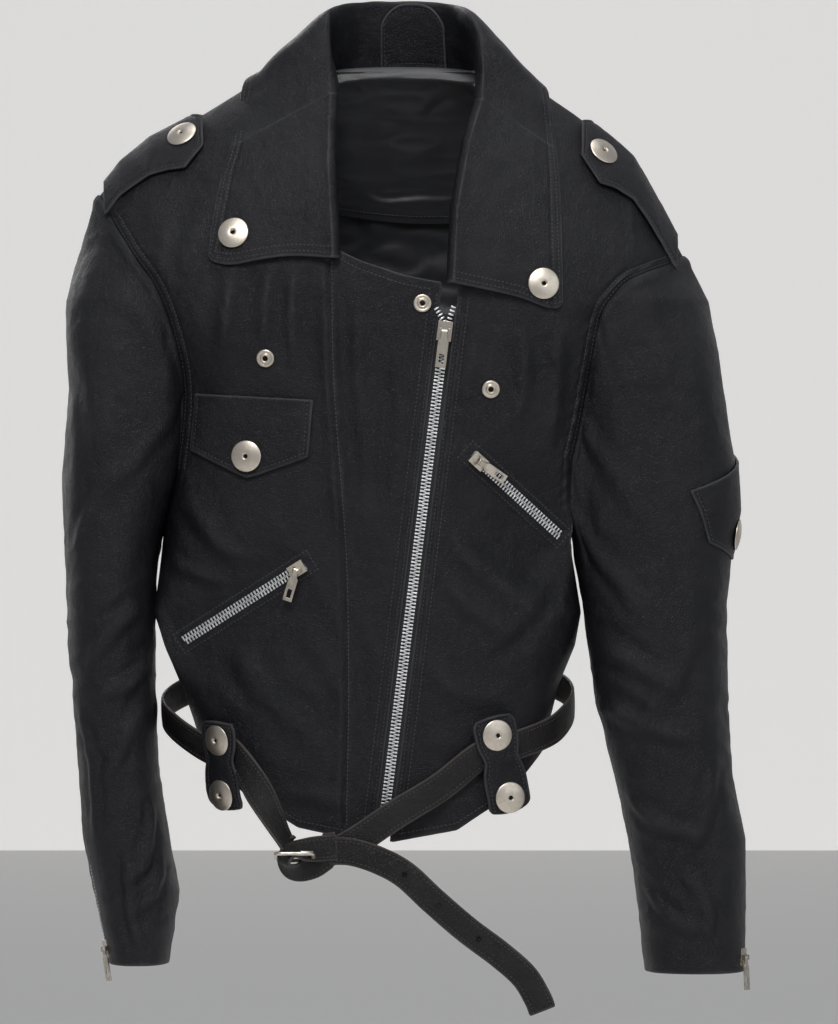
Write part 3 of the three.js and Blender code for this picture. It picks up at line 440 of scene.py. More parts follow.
# Stores how worn each place is: bends that stand proud, and rims.
def storeWear(obj, strength=1.0):
    mesh = obj.data
    co = np.empty(len(mesh.vertices) * 3)
    mesh.vertices.foreach_get("co", co)
    co = co.reshape(-1, 3) * 1000
    no = np.empty(len(mesh.vertices) * 3)
    mesh.vertices.foreach_get("normal", no)
    no = no.reshape(-1, 3)
    edges = np.empty(len(mesh.edges) * 2, int)
    mesh.edges.foreach_get("vertices", edges)
    edges = edges.reshape(-1, 2)
    total = np.zeros(len(co))
    weight = np.full(len(co), 1e-6)
    for a, b in ((0, 1), (1, 0)):
        d = co[edges[:, b]] - co[edges[:, a]]
        length = np.maximum(np.linalg.norm(d, axis=1), 1e-6)
        bend = -(d * no[edges[:, a]]).sum(1) / length**2 * 6
        np.add.at(total, edges[:, a], bend)
        np.add.at(weight, edges[:, a], 1)
    wear = np.clip(total / weight, -1, 1) * strength
    for _ in range(2):
        spread = np.zeros(len(co))
        np.add.at(spread, edges[:, 0], wear[edges[:, 1]])
        np.add.at(spread, edges[:, 1], wear[edges[:, 0]])
        wear = 0.5 * wear + 0.5 * spread / weight
    attribute = mesh.attributes.new("wear", "FLOAT", "POINT")
    attribute.data.foreach_set("value", wear.astype(np.float32))


# Materials.
def nodeMaterial(name):
    material = bpy.data.materials.new(name)
    material.use_nodes = True
    nodes = material.node_tree.nodes
    nodes.clear()
    out = nodes.new("ShaderNodeOutputMaterial")
    shader = nodes.new("ShaderNodeBsdfPrincipled")
    material.node_tree.links.new(shader.outputs["BSDF"], out.inputs["Surface"])
    return material, nodes, material.node_tree.links, shader


def noiseNode(nodes, links, coords, scale, detail=4, rough=0.55):
    n = nodes.new("ShaderNodeTexNoise")
    n.inputs["Scale"].default_value = scale
    n.inputs["Detail"].default_value = detail
    n.inputs["Roughness"].default_value = rough
    links.new(coords, n.inputs["Vector"])
    return n.outputs["Fac"]


def rampNode(nodes, links, value, stops):
    ramp = nodes.new("ShaderNodeValToRGB")
    ramp.color_ramp.elements[0].position = stops[0][0]
    ramp.color_ramp.elements[0].color = (*stops[0][1], 1)
    ramp.color_ramp.elements[1].position = stops[-1][0]
    ramp.color_ramp.elements[1].color = (*stops[-1][1], 1)
    for at, color in stops[1:-1]:
        ramp.color_ramp.elements.new(at).color = (*color, 1)
    links.new(value, ramp.inputs["Fac"])
    return ramp.outputs["Color"]


def mathNode(nodes, links, operation, a, b):
    n = nodes.new("ShaderNodeMath")
    n.operation = operation
    for socket, value in zip(n.inputs, (a, b)):
        if isinstance(value, (int, float)):
            socket.default_value = value
        else:
            links.new(value, socket)
    return n.outputs[0]


# Grained leather: pebbles, fine creases, a mottled dye, and paler wear where the wear attribute is high.
def leatherMaterial(name, dark, pale, rough, grain=1.0):
    material, nodes, links, shader = nodeMaterial(name)
    coords = nodes.new("ShaderNodeTexCoord").outputs["Object"]
    wearNode = nodes.new("ShaderNodeAttribute")
    wearNode.attribute_name = "wear"
    cloud = noiseNode(nodes, links, coords, 22, 6, 0.6)
    speck = noiseNode(nodes, links, coords, 420, 3, 0.7)
    pebbles = nodes.new("ShaderNodeTexVoronoi")
    pebbles.feature = "DISTANCE_TO_EDGE"
    pebbles.inputs["Scale"].default_value = 620
    bent = nodes.new("ShaderNodeVectorMath")
    bent.operation = "ADD"
    warp = nodes.new("ShaderNodeTexNoise")
    warp.inputs["Scale"].default_value = 300
    links.new(coords, warp.inputs["Vector"])
    shrink = nodes.new("ShaderNodeVectorMath")
    shrink.operation = "SCALE"
    shrink.inputs["Scale"].default_value = 0.0016
    links.new(warp.outputs["Color"], shrink.inputs[0])
    links.new(coords, bent.inputs[0])
    links.new(shrink.outputs["Vector"], bent.inputs[1])
    links.new(bent.outputs["Vector"], pebbles.inputs["Vector"])
    pebble = mathNode(nodes, links, "MINIMUM",
                      mathNode(nodes, links, "MULTIPLY", pebbles.outputs["Distance"], 5), 1)
    wornCloud = mathNode(nodes, links, "ADD", wearNode.outputs["Fac"],
                         mathNode(nodes, links, "MULTIPLY", mathNode(nodes, links, "SUBTRACT", cloud, 0.5),
                                  0.9))
    worn = rampNode(nodes, links, wornCloud, [(0.0, (0, 0, 0)), (0.28, (0.12, 0.12, 0.12)), (0.8, (1, 1, 1))])
    base = rampNode(nodes, links, cloud, [(0.3, dark), (0.7, tuple(c * 1.5 for c in dark))])
    blendColor = nodes.new("ShaderNodeMix")
    blendColor.data_type = "RGBA"
    links.new(worn, blendColor.inputs["Factor"])
    links.new(base, blendColor.inputs[6])
    blendColor.inputs[7].default_value = (*pale, 1)
    links.new(blendColor.outputs[2], shader.inputs["Base Color"])
    roughness = nodes.new("ShaderNodeMapRange")
    roughness.inputs["From Min"].default_value = 0.3
    roughness.inputs["From Max"].default_value = 0.7
    roughness.inputs["To Min"].default_value = rough - 0.09
    roughness.inputs["To Max"].default_value = rough + 0.12
    links.new(mathNode(nodes, links, "ADD", mathNode(nodes, links, "MULTIPLY", cloud, 0.6),
                       mathNode(nodes, links, "MULTIPLY", speck, 0.4)), roughness.inputs["Value"])
    links.new(roughness.outputs["Result"], shader.inputs["Roughness"])
    shader.inputs["Specular IOR Level"].default_value = 0.22
    creaseNoise = noiseNode(nodes, links, coords, 95, 8, 0.65)
    height = mathNode(nodes, links, "ADD", mathNode(nodes, links, "MULTIPLY", pebble, 0.55 * grain),
                      mathNode(nodes, links, "ADD",
                               mathNode(nodes, links, "MULTIPLY", creaseNoise, 2.4 * grain),
                               mathNode(nodes, links, "MULTIPLY", speck, 0.5 * grain)))
    bump = nodes.new("ShaderNodeBump")
    bump.inputs["Strength"].default_value = 0.75
    bump.inputs["Distance"].default_value = 0.0007
    links.new(height, bump.inputs["Height"])
    # soft rumples too small for the mesh
    soft = nodes.new("ShaderNodeBump")
    soft.inputs["Strength"].default_value = 0.55
    soft.inputs["Distance"].default_value = 0.006
    links.new(noiseNode(nodes, links, coords, 34, 3, 0.5), soft.inputs["Height"])
    links.new(soft.outputs["Normal"], bump.inputs["Normal"])
    links.new(bump.outputs["Normal"], shader.inputs["Normal"])
    return material


def metalMaterial(name, color, rough, wornColor=None, metallic=1.0):
    material, nodes, links, shader = nodeMaterial(name)
    coords = nodes.new("ShaderNodeTexCoord").outputs["Object"]
    cloud = noiseNode(nodes, links, coords, 160, 5, 0.65)
    dirt = rampNode(nodes, links, cloud, [(0.32, wornColor or tuple(c * 0.62 for c in color)), (0.58, color)])
    links.new(dirt, shader.inputs["Base Color"])
    shader.inputs["Metallic"].default_value = metallic
    roughness = rampNode(nodes, links, cloud, [(0.3, (rough + 0.16,) * 3), (0.7, (rough,) * 3)])
    links.new(roughness, shader.inputs["Roughness"])
    fine = noiseNode(nodes, links, coords, 1500, 2, 0.5)
    bump = nodes.new("ShaderNodeBump")
    bump.inputs["Strength"].default_value = 0.12
    bump.inputs["Distance"].default_value = 0.0001
    links.new(fine, bump.inputs["Height"])
    links.new(bump.outputs["Normal"], shader.inputs["Normal"])
    return material


def clothMaterial(name, color, rough, scale, strength):
    material, nodes, links, shader = nodeMaterial(name)
    coords = nodes.new("ShaderNodeTexCoord").outputs["Object"]
    cloud = noiseNode(nodes, links, coords, 30, 4, 0.6)
    links.new(rampNode(nodes, links, cloud,
                       [(0.3, tuple(c * 0.7 for c in color)), (0.7, tuple(c * 1.25 for c in color))]),
              shader.inputs["Base Color"])
    shader.inputs["Roughness"].default_value = rough
    shader.inputs["Sheen Weight"].default_value = 0.15
    weave = nodes.new("ShaderNodeTexWave")
    weave.bands_direction = "Z"
    weave.inputs["Scale"].default_value = scale
    weave.inputs["Distortion"].default_value = 1.5
    links.new(coords, weave.inputs["Vector"])
    bump = nodes.new("ShaderNodeBump")
    bump.inputs["Strength"].default_value = strength
    bump.inputs["Distance"].default_value = 0.0002
    links.new(weave.outputs["Fac"], bump.inputs["Height"])
    links.new(bump.outputs["Normal"], shader.inputs["Normal"])
    return material


materials = {
    "leather": leatherMaterial("blackLeather", (0.0042, 0.0043, 0.0060), (0.034, 0.034, 0.038), 0.45),
    "strap": leatherMaterial("strapLeather", (0.0060, 0.0054, 0.0060), (0.050, 0.043, 0.040), 0.44, 0.9),
    "lining": clothMaterial("blackSatin", (0.0080, 0.0086, 0.0130), 0.42, 700, 0.25),
    "tape": clothMaterial("zipTape", (0.011, 0.011, 0.012), 0.85, 900, 0.6),
    "pad": clothMaterial("padFelt", (0.30, 0.29, 0.27), 0.95, 400, 0.4),
    "thread": clothMaterial("thread", (0.020, 0.020, 0.022), 0.55, 1500, 0.5),
    "nickel": metalMaterial("agedNickel", (0.56, 0.51, 0.44), 0.28),
    "aluminium": metalMaterial("zipMetal", (0.80, 0.81, 0.82), 0.30),
    # near-black metal for the holes: painted shade standing in for the depth of the holes
    "dark": metalMaterial("darkHole", (0.02, 0.02, 0.02), 0.6),
}

made = []


def finishPiece(obj, piece):
    obj.data.materials.clear()
    obj.data.materials.append(materials[piece["material"]])
    made.append((obj, piece))
    return obj


# Leather panels.
def zipEdge(side, low, high, count):
    # along the slot beside the main zip, from height high down to low
    z = np.linspace(high, low, count)
    a, b = tracks["main"]["from"], tracks["main"]["to"]
    slope = (a[0] - b[0]) / (a[1] - b[1])
    x = a[0] + (z - a[1]) * slope + side * tracks["main"]["slot"] / 2 * 1.008
    return np.stack([x, z], -1)


# A grid between four edges: left and right run down, top and bottom run across.
def blendEdges(left, right, top, bottom, s, t):
    across, down = s[:, None, None], t[None, :, None]
    grid = ((1 - across) * left[None] + across * right[None]
            + (1 - down) * top[:, None] + down * bottom[:, None])
    grid -= ((1 - across) * (1 - down) * left[0] + across * (1 - down) * right[0]
             + (1 - across) * down * left[-1] + across * down * right[-1])
    return grid


def frontGrid(left, right, top, bottom, across, down):
    s = np.linspace(0, 1, across)
    s = mix(s, 1 - np.cos(s * math.pi / 2), 0.55)  # closer together at the side seam
    t = np.linspace(0, 1, down)**1.15
    return blendEdges(polyPath(left, t), polyPath(right, t), polyPath(top, s), polyPath(bottom, s), s, t)


def sideSeam(side, start, count=24):
    # down the silhouette from the underarm to the hem, on the wearer's right (-1) or left (1)
    z = np.linspace(start, -606, count)
    middle, half = bodySpan(z)
    return np.stack([middle + side * half, z], -1)


def hemPath(x0, x1, count=60):
    x = np.linspace(x0, x1, count)
    return np.stack([x, hemHeight(x)], -1)


def topPath(x0, x1, count=40):
    x = np.linspace(x0, x1, count)
    return np.stack([x, shoulderTop(x) - 0.4], -1)


columns, rows = 150, 260  # across and down a panel

fronts = {
    "Right": {"side": -1, "underarm": -406, "zipTop": -214, "top": (-262, -77),
              "neck": [(-77, -24), (-66, -60), (-63, -120), (-63, -184), (-38, -196), (-2, -208),
                       (22, -213)]},
    "Left": {"side": 1, "underarm": -404, "zipTop": -206, "top": (238, 72),
             "neck": [(72, -26), (66, -60), (60, -110), (52, -190)]},
}


# From the top of the armhole down to the hem.
def sideEdge(side, underarm):
    sleeve = rightSleeve if side < 0 else leftSleeve
    return np.vstack([smoothPath(sleeve["armhole"], 60), sideSeam(side, underarm)])


def buildFronts():
    for name, spec in fronts.items():
        edge = np.vstack([spec["neck"], zipEdge(spec["side"], -680, spec["zipTop"], 50)])
        edge[-1, 1] = hemHeight(edge[-1, 0])
        outer = sideEdge(spec["side"], spec["underarm"])
        grid = frontGrid(outer, edge, topPath(*spec["top"]), hemPath(outer[-1, 0], edge[-1, 0]), columns,
                         rows)
        piece = {"name": "front" + name, "material": "leather", "replaces": ["front_panel_" + name.lower()],
                 "ride": "jacket"}
        obj = sheetMesh(piece["name"], frontPoint(grid[..., 0], grid[..., 1]), size["panel"], (0, -1, 0))
        storeWear(obj)
        finishPiece(obj, piece)


def buildBack():
    left, right = (sideEdge(spec["side"], spec["underarm"]) for spec in fronts.values())
    s = np.linspace(0, 1, 260)
    s = mix(s, (1 - np.cos(s * math.pi)) / 2, 0.75)
    t = np.linspace(0, 1, rows)**1.15
    top, hem = topPath(-262, 238, 90), hemPath(left[-1, 0], right[-1, 0])
    grid = blendEdges(polyPath(left, t), polyPath(right, t), polyPath(top, s), polyPath(hem, s), s, t)
    # the hole the collar stands in
    x, z = grid[..., 0], grid[..., 1]
    neck = np.clip(1 - ((x + 3) / 74)**2, 0, 1)**0.5 * 9
    z = np.where(z > -60, z - neck * ease((z + 60) / 40), z)
    piece = {"name": "back", "material": "leather", "replaces": ["back_panel"], "ride": "jacket"}
    obj = sheetMesh(piece["name"], backPoint(x, z), size["panel"], (0, 1, 0))
    storeWear(obj)
    finishPiece(obj, piece)


# Sleeves.
def sleeveRing(sleeve, angle, z):
    rows = sleeve["rows"]
    drop = z - sleeve["tip"][1]
    outer, inner, y, share = [np.interp(drop, rows[:, 0], rows[:, k]) for k in range(1, 5)]
    halfX = np.abs(outer - inner) / 2
    halfY = size["sleeveDepth"] / 2 * share
    c, s = np.cos(angle), np.sin(angle)
    x = (outer + inner) / 2 + halfX * np.sign(c) * np.abs(c)**0.86
    return np.stack([x, y + halfY * np.sign(s) * np.abs(s)**0.86, z], -1)


def ringAngle(sleeve, point):
    rows = sleeve["rows"]
    drop = point[..., 2] - sleeve["tip"][1]
    outer, inner, y, share = [np.interp(drop, rows[:, 0], rows[:, k]) for k in range(1, 5)]
    c = (point[..., 0] - (outer + inner) / 2) / (np.abs(outer - inner) / 2)
    s = (point[..., 1] - y) / (size["sleeveDepth"] / 2 * share)
    c = np.sign(c) * np.abs(c)**(1 / 0.86)
    s = np.sign(s) * np.abs(s)**(1 / 0.86)
    return np.arctan2(s, c)


# Folds over the unrolled sleeve: share round it (0 at the shoulder side, 0.25 front, 0.5 inside) and height.
sleeveFolds = {
    -1: [([(0.10, -200), (0.20, -260), (0.28, -330)], 9, 3.2),
         ([(0.06, -260), (0.16, -330), (0.22, -400)], 9, 2.8),
         ([(0.30, -300), (0.22, -380), (0.12, -450)], 8, 2.6),
         ([(0.40, -480), (0.28, -500), (0.16, -540)], 8, 3.6),
         ([(0.44, -520), (0.32, -548), (0.18, -560)], 7, 3.0),
         ([(0.42, -560), (0.30, -590), (0.20, -640)], 8, 3.0),
         ([(0.10, -560), (0.16, -620), (0.14, -690)], 8, 2.6),
         ([(0.40, -640), (0.32, -690), (0.22, -720)], 7, 3.0),
         ([(0.42, -690), (0.30, -730), (0.20, -745)], 6, 2.6),
         ([(0.26, -680), (0.24, -740), (0.28, -780)], 6, 2.4)],
    1: [([(0.10, -260), (0.20, -320), (0.30, -390)], 9, 3.0),
        ([(0.34, -300), (0.26, -380), (0.24, -450)], 8, 2.8),
        ([(0.42, -400), (0.34, -450), (0.26, -500)], 8, 3.0),
        ([(0.44, -520), (0.32, -530), (0.18, -560)], 8, 3.4),
        ([(0.44, -560), (0.30, -585), (0.16, -600)], 8, 3.2),
        ([(0.16, -480), (0.22, -540), (0.34, -600)], 8, 2.6),
        ([(0.42, -640), (0.30, -670), (0.18, -680)], 7, 3.0),
        ([(0.12, -600), (0.20, -660), (0.34, -720)], 7, 2.6),
        ([(0.42, -720), (0.30, -750), (0.20, -752)], 6, 2.6),
        ([(0.30, -690), (0.22, -740), (0.24, -776)], 6, 2.2)],
}


def sleeveSurface(sleeve, share, t, cuffLong=0.0):
    # share goes round from the shoulder through the front, the inside and the back; t from armhole to cuff
    sign = sleeve["sign"]
    hole = np.asarray(smoothPath(sleeve["armhole"], 80))
    front = frontPoint(hole[:, 0], hole[:, 1])
    back = backPoint(hole[:, 0], hole[:, 1])
    loop = np.vstack([front, back[::-1][1:]])
    loop[79, 1] = 0
    step = np.linalg.norm(np.diff(loop, axis=0), axis=1)
    at = np.concatenate([[0], np.cumsum(step)])
    half = at[79]
    at = np.where(at <= half, at / half * 0.5, 0.5 + (at - half) / (at[-1] - half) * 0.5)
    start = np.stack([np.interp(share, at, loop[:, k]) for k in range(3)], -1)
    first = ringAngle(sleeve, start)
    last = (-math.pi + share * 2 * math.pi) if sign < 0 else -share * 2 * math.pi
    first = last + (first - last + math.pi) % (2 * math.pi) - math.pi
    end = sleeve["tip"][1] + sleeve["rows"][0, 0] - cuffLong
    z = mix(start[..., 2], end, t)
    turn = ease(t / 0.34)
    angle = mix(first, last, turn)
    ring = sleeveRing(sleeve, angle, z)
    off = start - sleeveRing(sleeve, first, start[..., 2])
    return ring + off * (1 - ease(t / 0.16))[..., None]


def sleeveGrid(sleeve, around=170, down=300):
    share = np.linspace(0, 1, around, endpoint=False)[:, None] * np.ones((1, down))
    t = np.linspace(0, 1, down)[None, :] * np.ones((around, 1))
    base = sleeveSurface(sleeve, share, t)
    normal = gridNormals(base, True)
    centre = base.mean(0, keepdims=True)
    if ((base - centre) * normal)[:, down // 2:].sum() < 0:
        normal = -normal
    path = share * 400
    folds = [([(a * 400, z) for a, z in p], w, h) for p, w, h in sleeveFolds[sleeve["sign"]]]
    push = foldLift(path, base[..., 2], folds) + foldLift(400 - path, base[..., 2] + 14, folds) * 0.9
    elbow = np.exp(-((base[..., 2] + 540) / 90)**2) + np.exp(-((base[..., 2] + 745) / 60)**2)
    tilt = base + np.stack([base[..., 2] * 0.25, base[..., 2] * 0, base[..., 0] * 0.55], -1) * sleeve["sign"]
    rumple = creases(tilt, (52, 80, 24), 2.2)
    push += rumple * (0.25 + 0.9 * elbow) + grainLift(base, 0.7)
    push *= ease(t / 0.07) * mix(1.0, 0.55, ease((t - 0.93) / 0.07))
    push *= cuffHold(sleeve, base)
    # the armhole seam: a furrow with a raised edge on the sleeve's side
    away = np.linalg.norm(base - base[:, :1], axis=-1)
    push += 1.1 * np.exp(-((away - 5) / 4)**2) - 1.0 * np.exp(-(away / 1.6)**2)
    return base + normal * push[..., None], base, normal


def cuffHold(sleeve, base):
    # the leather lies flat along the cuff's zip
    a, b = cuffEnds(sleeve)
    d = b - a
    t = np.clip(((base - a) @ d) / (d @ d), 0, 1)
    away = np.linalg.norm(base - a - t[..., None] * d, axis=-1)
    hold = ease((away - 10) / 22)
    if sleeve["sign"] > 0:
        flap = np.linalg.norm((base - np.array([272, -40, -398])) * np.array([0.6, 0.8, 1]), axis=-1)
        hold = hold * ease((flap - 26) / 44)
    return hold


def cuffEnds(sleeve):
    sign = sleeve["sign"]
    span = (-566, -644) if sign < 0 else (-492, -600)
    angle = -2.75 if sign < 0 else -0.39
    return [sleeveRing(sleeve, np.array(angle), np.array(sleeve["tip"][1] + float(z))) for z in span]


def buildSleeves():
    for side, sleeve in (("right", rightSleeve), ("left", leftSleeve)):
        grid, _, _ = sleeveGrid(sleeve)
        piece = {"name": side + "Sleeve", "material": "leather", "replaces": ["sleeve_" + side],
                 "blend": ("jacket", side + "_sleeve", sleeve)}
        obj = sheetMesh(piece["name"], grid, size["panel"], (sleeve["sign"], 0, 0), cyclic=True)
        storeWear(obj)
        finishPiece(obj, piece)


# Collar and lapels.
roll = smoothPath([(-64, -78, -48), (-64, -56, -16), (-63, -34, 10), (-60, -10, 31), (-45, 34, 41),
                   (-5, 53, 43),
                   (35, 34, 39), (50, -10, 27), (61, -34, 2), (66, -56, -24), (66, -78, -53)], 200)
fallEdge = smoothPath([(-147, -84, -100), (-145, -62, -82), (-141, -34, -60), (-133, 4, -33),
                       (-100, 70, -42), (-5, 97, -50),
                       (92, 70, -42), (118, 4, -40), (124, -38, -62), (127, -64, -86), (128, -84, -102)], 200)
standFoot = smoothPath([(-76, -30, -52), (-70, -6, -36), (-58, 42, -30), (-5, 66, -28), (50, 42, -30),
                        (64, -6, -36),
                        (68, -30, -56)], 200)


def buildCollar():
    down = 40
    inner = 16
    cols = 220
    s = np.linspace(0, 1, cols)
    rollAt, edgeAt, footAt = [polyPath(p, s) for p in (roll, fallEdge, standFoot)]
    grid = np.zeros((cols, inner + down, 3))
    for j in range(inner):
        t = j / inner
        p = mix(footAt, rollAt, t)
        grid[:, j] = p
    for j in range(down):
        t = j / (down - 1)
        p = mix(rollAt, edgeAt, t)
        bulge = 7 * math.sin(math.pi * min(1, t * 1.15)) * (1 - 0.4 * t)
        grid[:, inner + j] = p + np.array([0, 0, 1]) * bulge
    # round the roll
    for _ in range(14):
        k = slice(inner - 5, inner + 7)
        part = grid[:, inner - 6:inner + 8]
        grid[:, k] = (part[:, :-2] + part[:, 2:]) / 2
    for end, side in ((0, "right"), (-1, "left")):
        top, turns = lapels[side]["top"], lapels[side]["turns"]
        at = np.concatenate([np.linspace(0, turns, inner, endpoint=False),
                             np.linspace(turns, len(top) - 1, down)])
        want = np.stack([np.interp(at, np.arange(len(top)), top[:, k]) for k in range(3)], -1)
        gap = want - grid[end]
        share = (s if end == 0 else s[::-1])
        fade = (1 - ease(share / 0.24))[:, None, None]
        grid += gap[None] * fade
    normal = gridNormals(grid, False)
    push = noiseAt(grid, (50, 50, 30), 4.4) * 2.0 + noiseAt(grid, (16, 16, 18), 5.5) * 0.7
    flip = -1 if (normal[cols // 2, inner + down // 2] @ np.array([0, 0.5, 1])) < 0 else 1
    normal = normal * flip
    edge = np.minimum(np.arange(inner + down)[::-1], 6) / 6
    ends = ease(s / 0.12) * ease((1 - s) / 0.12)
    push = push * edge[None, :] * ends[:, None]
    grid = grid + normal * push[..., None]
    piece = {"name": "collar", "material": "leather", "replaces": ["collar"], "ride": "jacket"}
    obj = sheetMesh(piece["name"], grid, size["layer"], (0, 0.4, 1))
    storeWear(obj)
    finishPiece(obj, piece)
    fall = grid[:, inner:]
    normal = normal[:, inner:]
    _, sides = rimDistance(fall, ("start", "end", "low"))
    for row in (3.2, 8.2):
        stitchRow(piece, fall, normal, sides, ("start", "end", "low"), row)


lapels = {
    "right": {"inner": [(-63.5, -50), (-64.7, -110), (-61, -173), (-60.5, -191)],
              "outer": [(-147, -96), (-154, -118), (-160, -150), (-165, -188)],
              "foot": [(-60.5, -191), (-95, -189), (-122, -192), (-145, -196), (-161, -193.5),
                       (-165, -188)], "cap": (-143, -172)},
    "left": {"inner": [(65.5, -55), (54.6, -91), (44, -151), (41, -212)],
             "outer": [(127.5, -98), (130, -120), (131, -150), (132, -229)],
             "foot": [(41, -212), (70, -218), (96, -224), (118, -232), (128, -233), (132, -229)],
             "cap": (115.5, -214)},
}


def lapelHeight(lapel, x, z):
    # how far the lapel stands off the front: high at its roll, close at its outer edge
    inner = polyPath(lapel["inner"], np.linspace(0, 1, 30))
    outer = polyPath(lapel["outer"], np.linspace(0, 1, 30))
    xi = np.interp(z, inner[::-1, 1], inner[::-1, 0])
    xo = np.interp(z, outer[::-1, 1], outer[::-1, 0])
    share = np.clip((x - xi) / (xo - xi), 0, 1)
    return 3.6 + 9.5 * np.exp(-share * 5.0) + 1.4 * np.sin(math.pi * share)


def buildLapels():
    for side, lapel in lapels.items():
        sign = -1 if side == "right" else 1
        across, down = 70, 120
        s = np.linspace(0, 1, across)
        t = np.linspace(0, 1, down)
        l, r = polyPath(lapel["inner"], t), polyPath(lapel["outer"], t)
        u = np.linspace(lapel["inner"][0], lapel["outer"][0], across)
        d = polyPath(smoothPath(lapel["foot"], 60), s)
        grid = blendEdges(l, r, u, d, s, t)
        x, z = grid[..., 0], grid[..., 1]
        points = np.stack([x, frontPlain(x, z), z], -1)
        lift = lapelHeight(lapel, x, z)
        lift += noiseAt(points, (40, 40, 60), 8.8) * 1.3 + noiseAt(points, (14, 14, 20), 1.8) * 0.5
        lift += creases(points, (24, 24, 40), 6.1) * 0.35
        # furrow of the seam along the outer edge
        seam = np.abs(s[:, None] - 0.89) * 85
        lift -= 1.2 * np.exp(-(seam / 1.4)**2)
        points[..., 1] -= lift
        # the roll: the sheet turns inward behind its inner edge
        turns = 10
        curl = np.zeros((turns, down, 3))
        first = points[0]
        for k in range(turns):
            angle = math.pi * 0.62 * (turns - k) / turns
            radius = 6.5
            curl[k] = first
            curl[k, :, 0] = first[:, 0] - sign * radius * math.sin(angle)
            curl[k, :, 1] = first[:, 1] + radius * (1 - math.cos(angle)) + (turns - k) * 0.5
        points = np.concatenate([curl, points])
        piece = {"name": side + "Lapel", "material": "leather", "replaces": ["lapel_" + side],
                 "lapel": (side + "_lapel", lapel)}
        obj = sheetMesh(piece["name"], points, size["layer"], (0, -1, 0))
        storeWear(obj)
        finishPiece(obj, piece)
        lapel["top"] = points[:, 0]
        lapel["turns"] = turns
        sheet = points[turns:]
        normal = outwardNormals(sheet, (0, -1, 0))
        _, sides = rimDistance(sheet, ("start", "low"))
        for row in (3.2, 8.2):
            stitchRow(piece, sheet, normal, sides, ("start", "low"), row)


# Surfaces that trims lie on.
def frontNormal(x, z):
    a = frontFlat(x + 4, z) - frontFlat(x - 4, z)
    b = frontFlat(x, z + 4) - frontFlat(x, z - 4)
    normal = unit(np.cross(a, b))
    return np.where(normal[..., 1:2] > 0, -normal, normal)


def frontFlat(x, z):
    x, z = np.broadcast_arrays(np.asarray(x, float), np.asarray(z, float))
    return np.stack([x, frontPlain(x, z), z], -1)


def shoulderPoint(x, y):
    x, y = np.broadcast_arrays(np.asarray(x, float), np.asarray(y, float))
    top = shoulderTop(x)
    middle, half = bodySpan(top)
    power = mix(np.where(x < middle, 2.6, 3.4), 5, ease((top + 320) / 140))
    full = size["frontDepth"] * (1 - np.minimum(0.999, np.abs(x - middle) / half)**power)**(1 / power)
    share = np.minimum(0.97, np.abs(y) / full)
    return np.stack([x, y, top - (1 - (1 - share**1.25)**(1 / 1.8)) * 200], -1)


def quadGrid(a, b, columns, rows):
    s, t = np.linspace(0, 1, columns), np.linspace(0, 1, rows)
    return mix(polyPath(a, s)[:, None], polyPath(b, s)[:, None], t[None, :, None])


# Distance of each grid point from the rim, in millimetres.
def rimDistance(points, skip=()):
    d0 = np.linalg.norm(np.diff(points, axis=0), axis=-1)
    d1 = np.linalg.norm(np.diff(points, axis=1), axis=-1)
    zero0 = np.zeros((1, points.shape[1]))
    zero1 = np.zeros((points.shape[0], 1))
    sides = {
        "start": np.vstack([zero0, np.cumsum(d0, 0)]),
        "end": np.vstack([np.cumsum(d0[::-1], 0)[::-1], zero0]),
        "low": np.hstack([zero1, np.cumsum(d1, 1)]),
        "high": np.hstack([np.cumsum(d1[:, ::-1], 1)[:, ::-1], zero1]),
    }
    return np.min([v for k, v in sides.items() if k not in skip], 0), sides


# A stitched flap: lifted off its ground, fuller in the middle, pressed in along its stitching.
def trimSheet(piece, points, outward, lift, skip=(), rows=(3.0,), puff=1.0):
    normal = outwardNormals(points, outward)
    away, sides = rimDistance(points, skip)
    rise = lift + puff * (1 - np.exp(-away / 12)) + noiseAt(points, (22, 22, 22), 9.1) * 0.5
    rise += creases(points, (12, 12, 12), 2.1) * 0.12
    for row in rows:
        rise -= 0.45 * np.exp(-((away - row) / 1.1)**2)
    rise += 0.35 * np.exp(-(away / 1.6)**2)
    top = points + normal * rise[..., None]
    obj = sheetMesh(piece["name"], top, size["layer"], outward)
    storeWear(obj, 0.9)
    finishPiece(obj, piece)
    for row in rows:
        stitchRow(piece, top, normal, sides, skip, row)
    return top, normal


stitches = {}


def addStitches(piece, path, up):
    stitches.setdefault(piece["name"], (piece, []))[1].append((np.asarray(path), np.asarray(up)))


# A line of stitches a fixed way in from the rim of a grid.
def stitchRow(piece, top, normal, sides, skip, row):
    n, m = top.shape[:2]
    loop = []
    for side in ("low", "end", "high", "start"):
        if side in skip:
            continue
        line = []
        count = n if side in ("low", "high") else m
        for k in range(count):
            strip = sides[side][k, :] if side in ("low", "high") else sides[side][:, k]
            pts = top[k, :] if side in ("low", "high") else top[:, k]
            ups = normal[k, :] if side in ("low", "high") else normal[:, k]
            order = np.argsort(strip)
            point = [np.interp(row, strip[order], pts[order, c]) for c in range(3)]
            up = [np.interp(row, strip[order], ups[order, c]) for c in range(3)]
            near = {"low": "start", "high": "start", "start": "low", "end": "low"}[side]
            far = {"low": "end", "high": "end", "start": "high", "end": "high"}[side]
            j = order[np.searchsorted(strip[order], row).clip(0, len(order) - 1)]
            at = (k, j) if side in ("low", "high") else (j, k)
            lowGap = row if near in skip else sides[near][at]
            farGap = row if far in skip else sides[far][at]
            if lowGap >= row * 0.9 and farGap >= row * 0.9:
                line.append((point, up))
        if len(line) > 2:
            loop.append(line)
    for line in loop:
        addStitches(piece, [p for p, _ in line], [u for _, u in line])


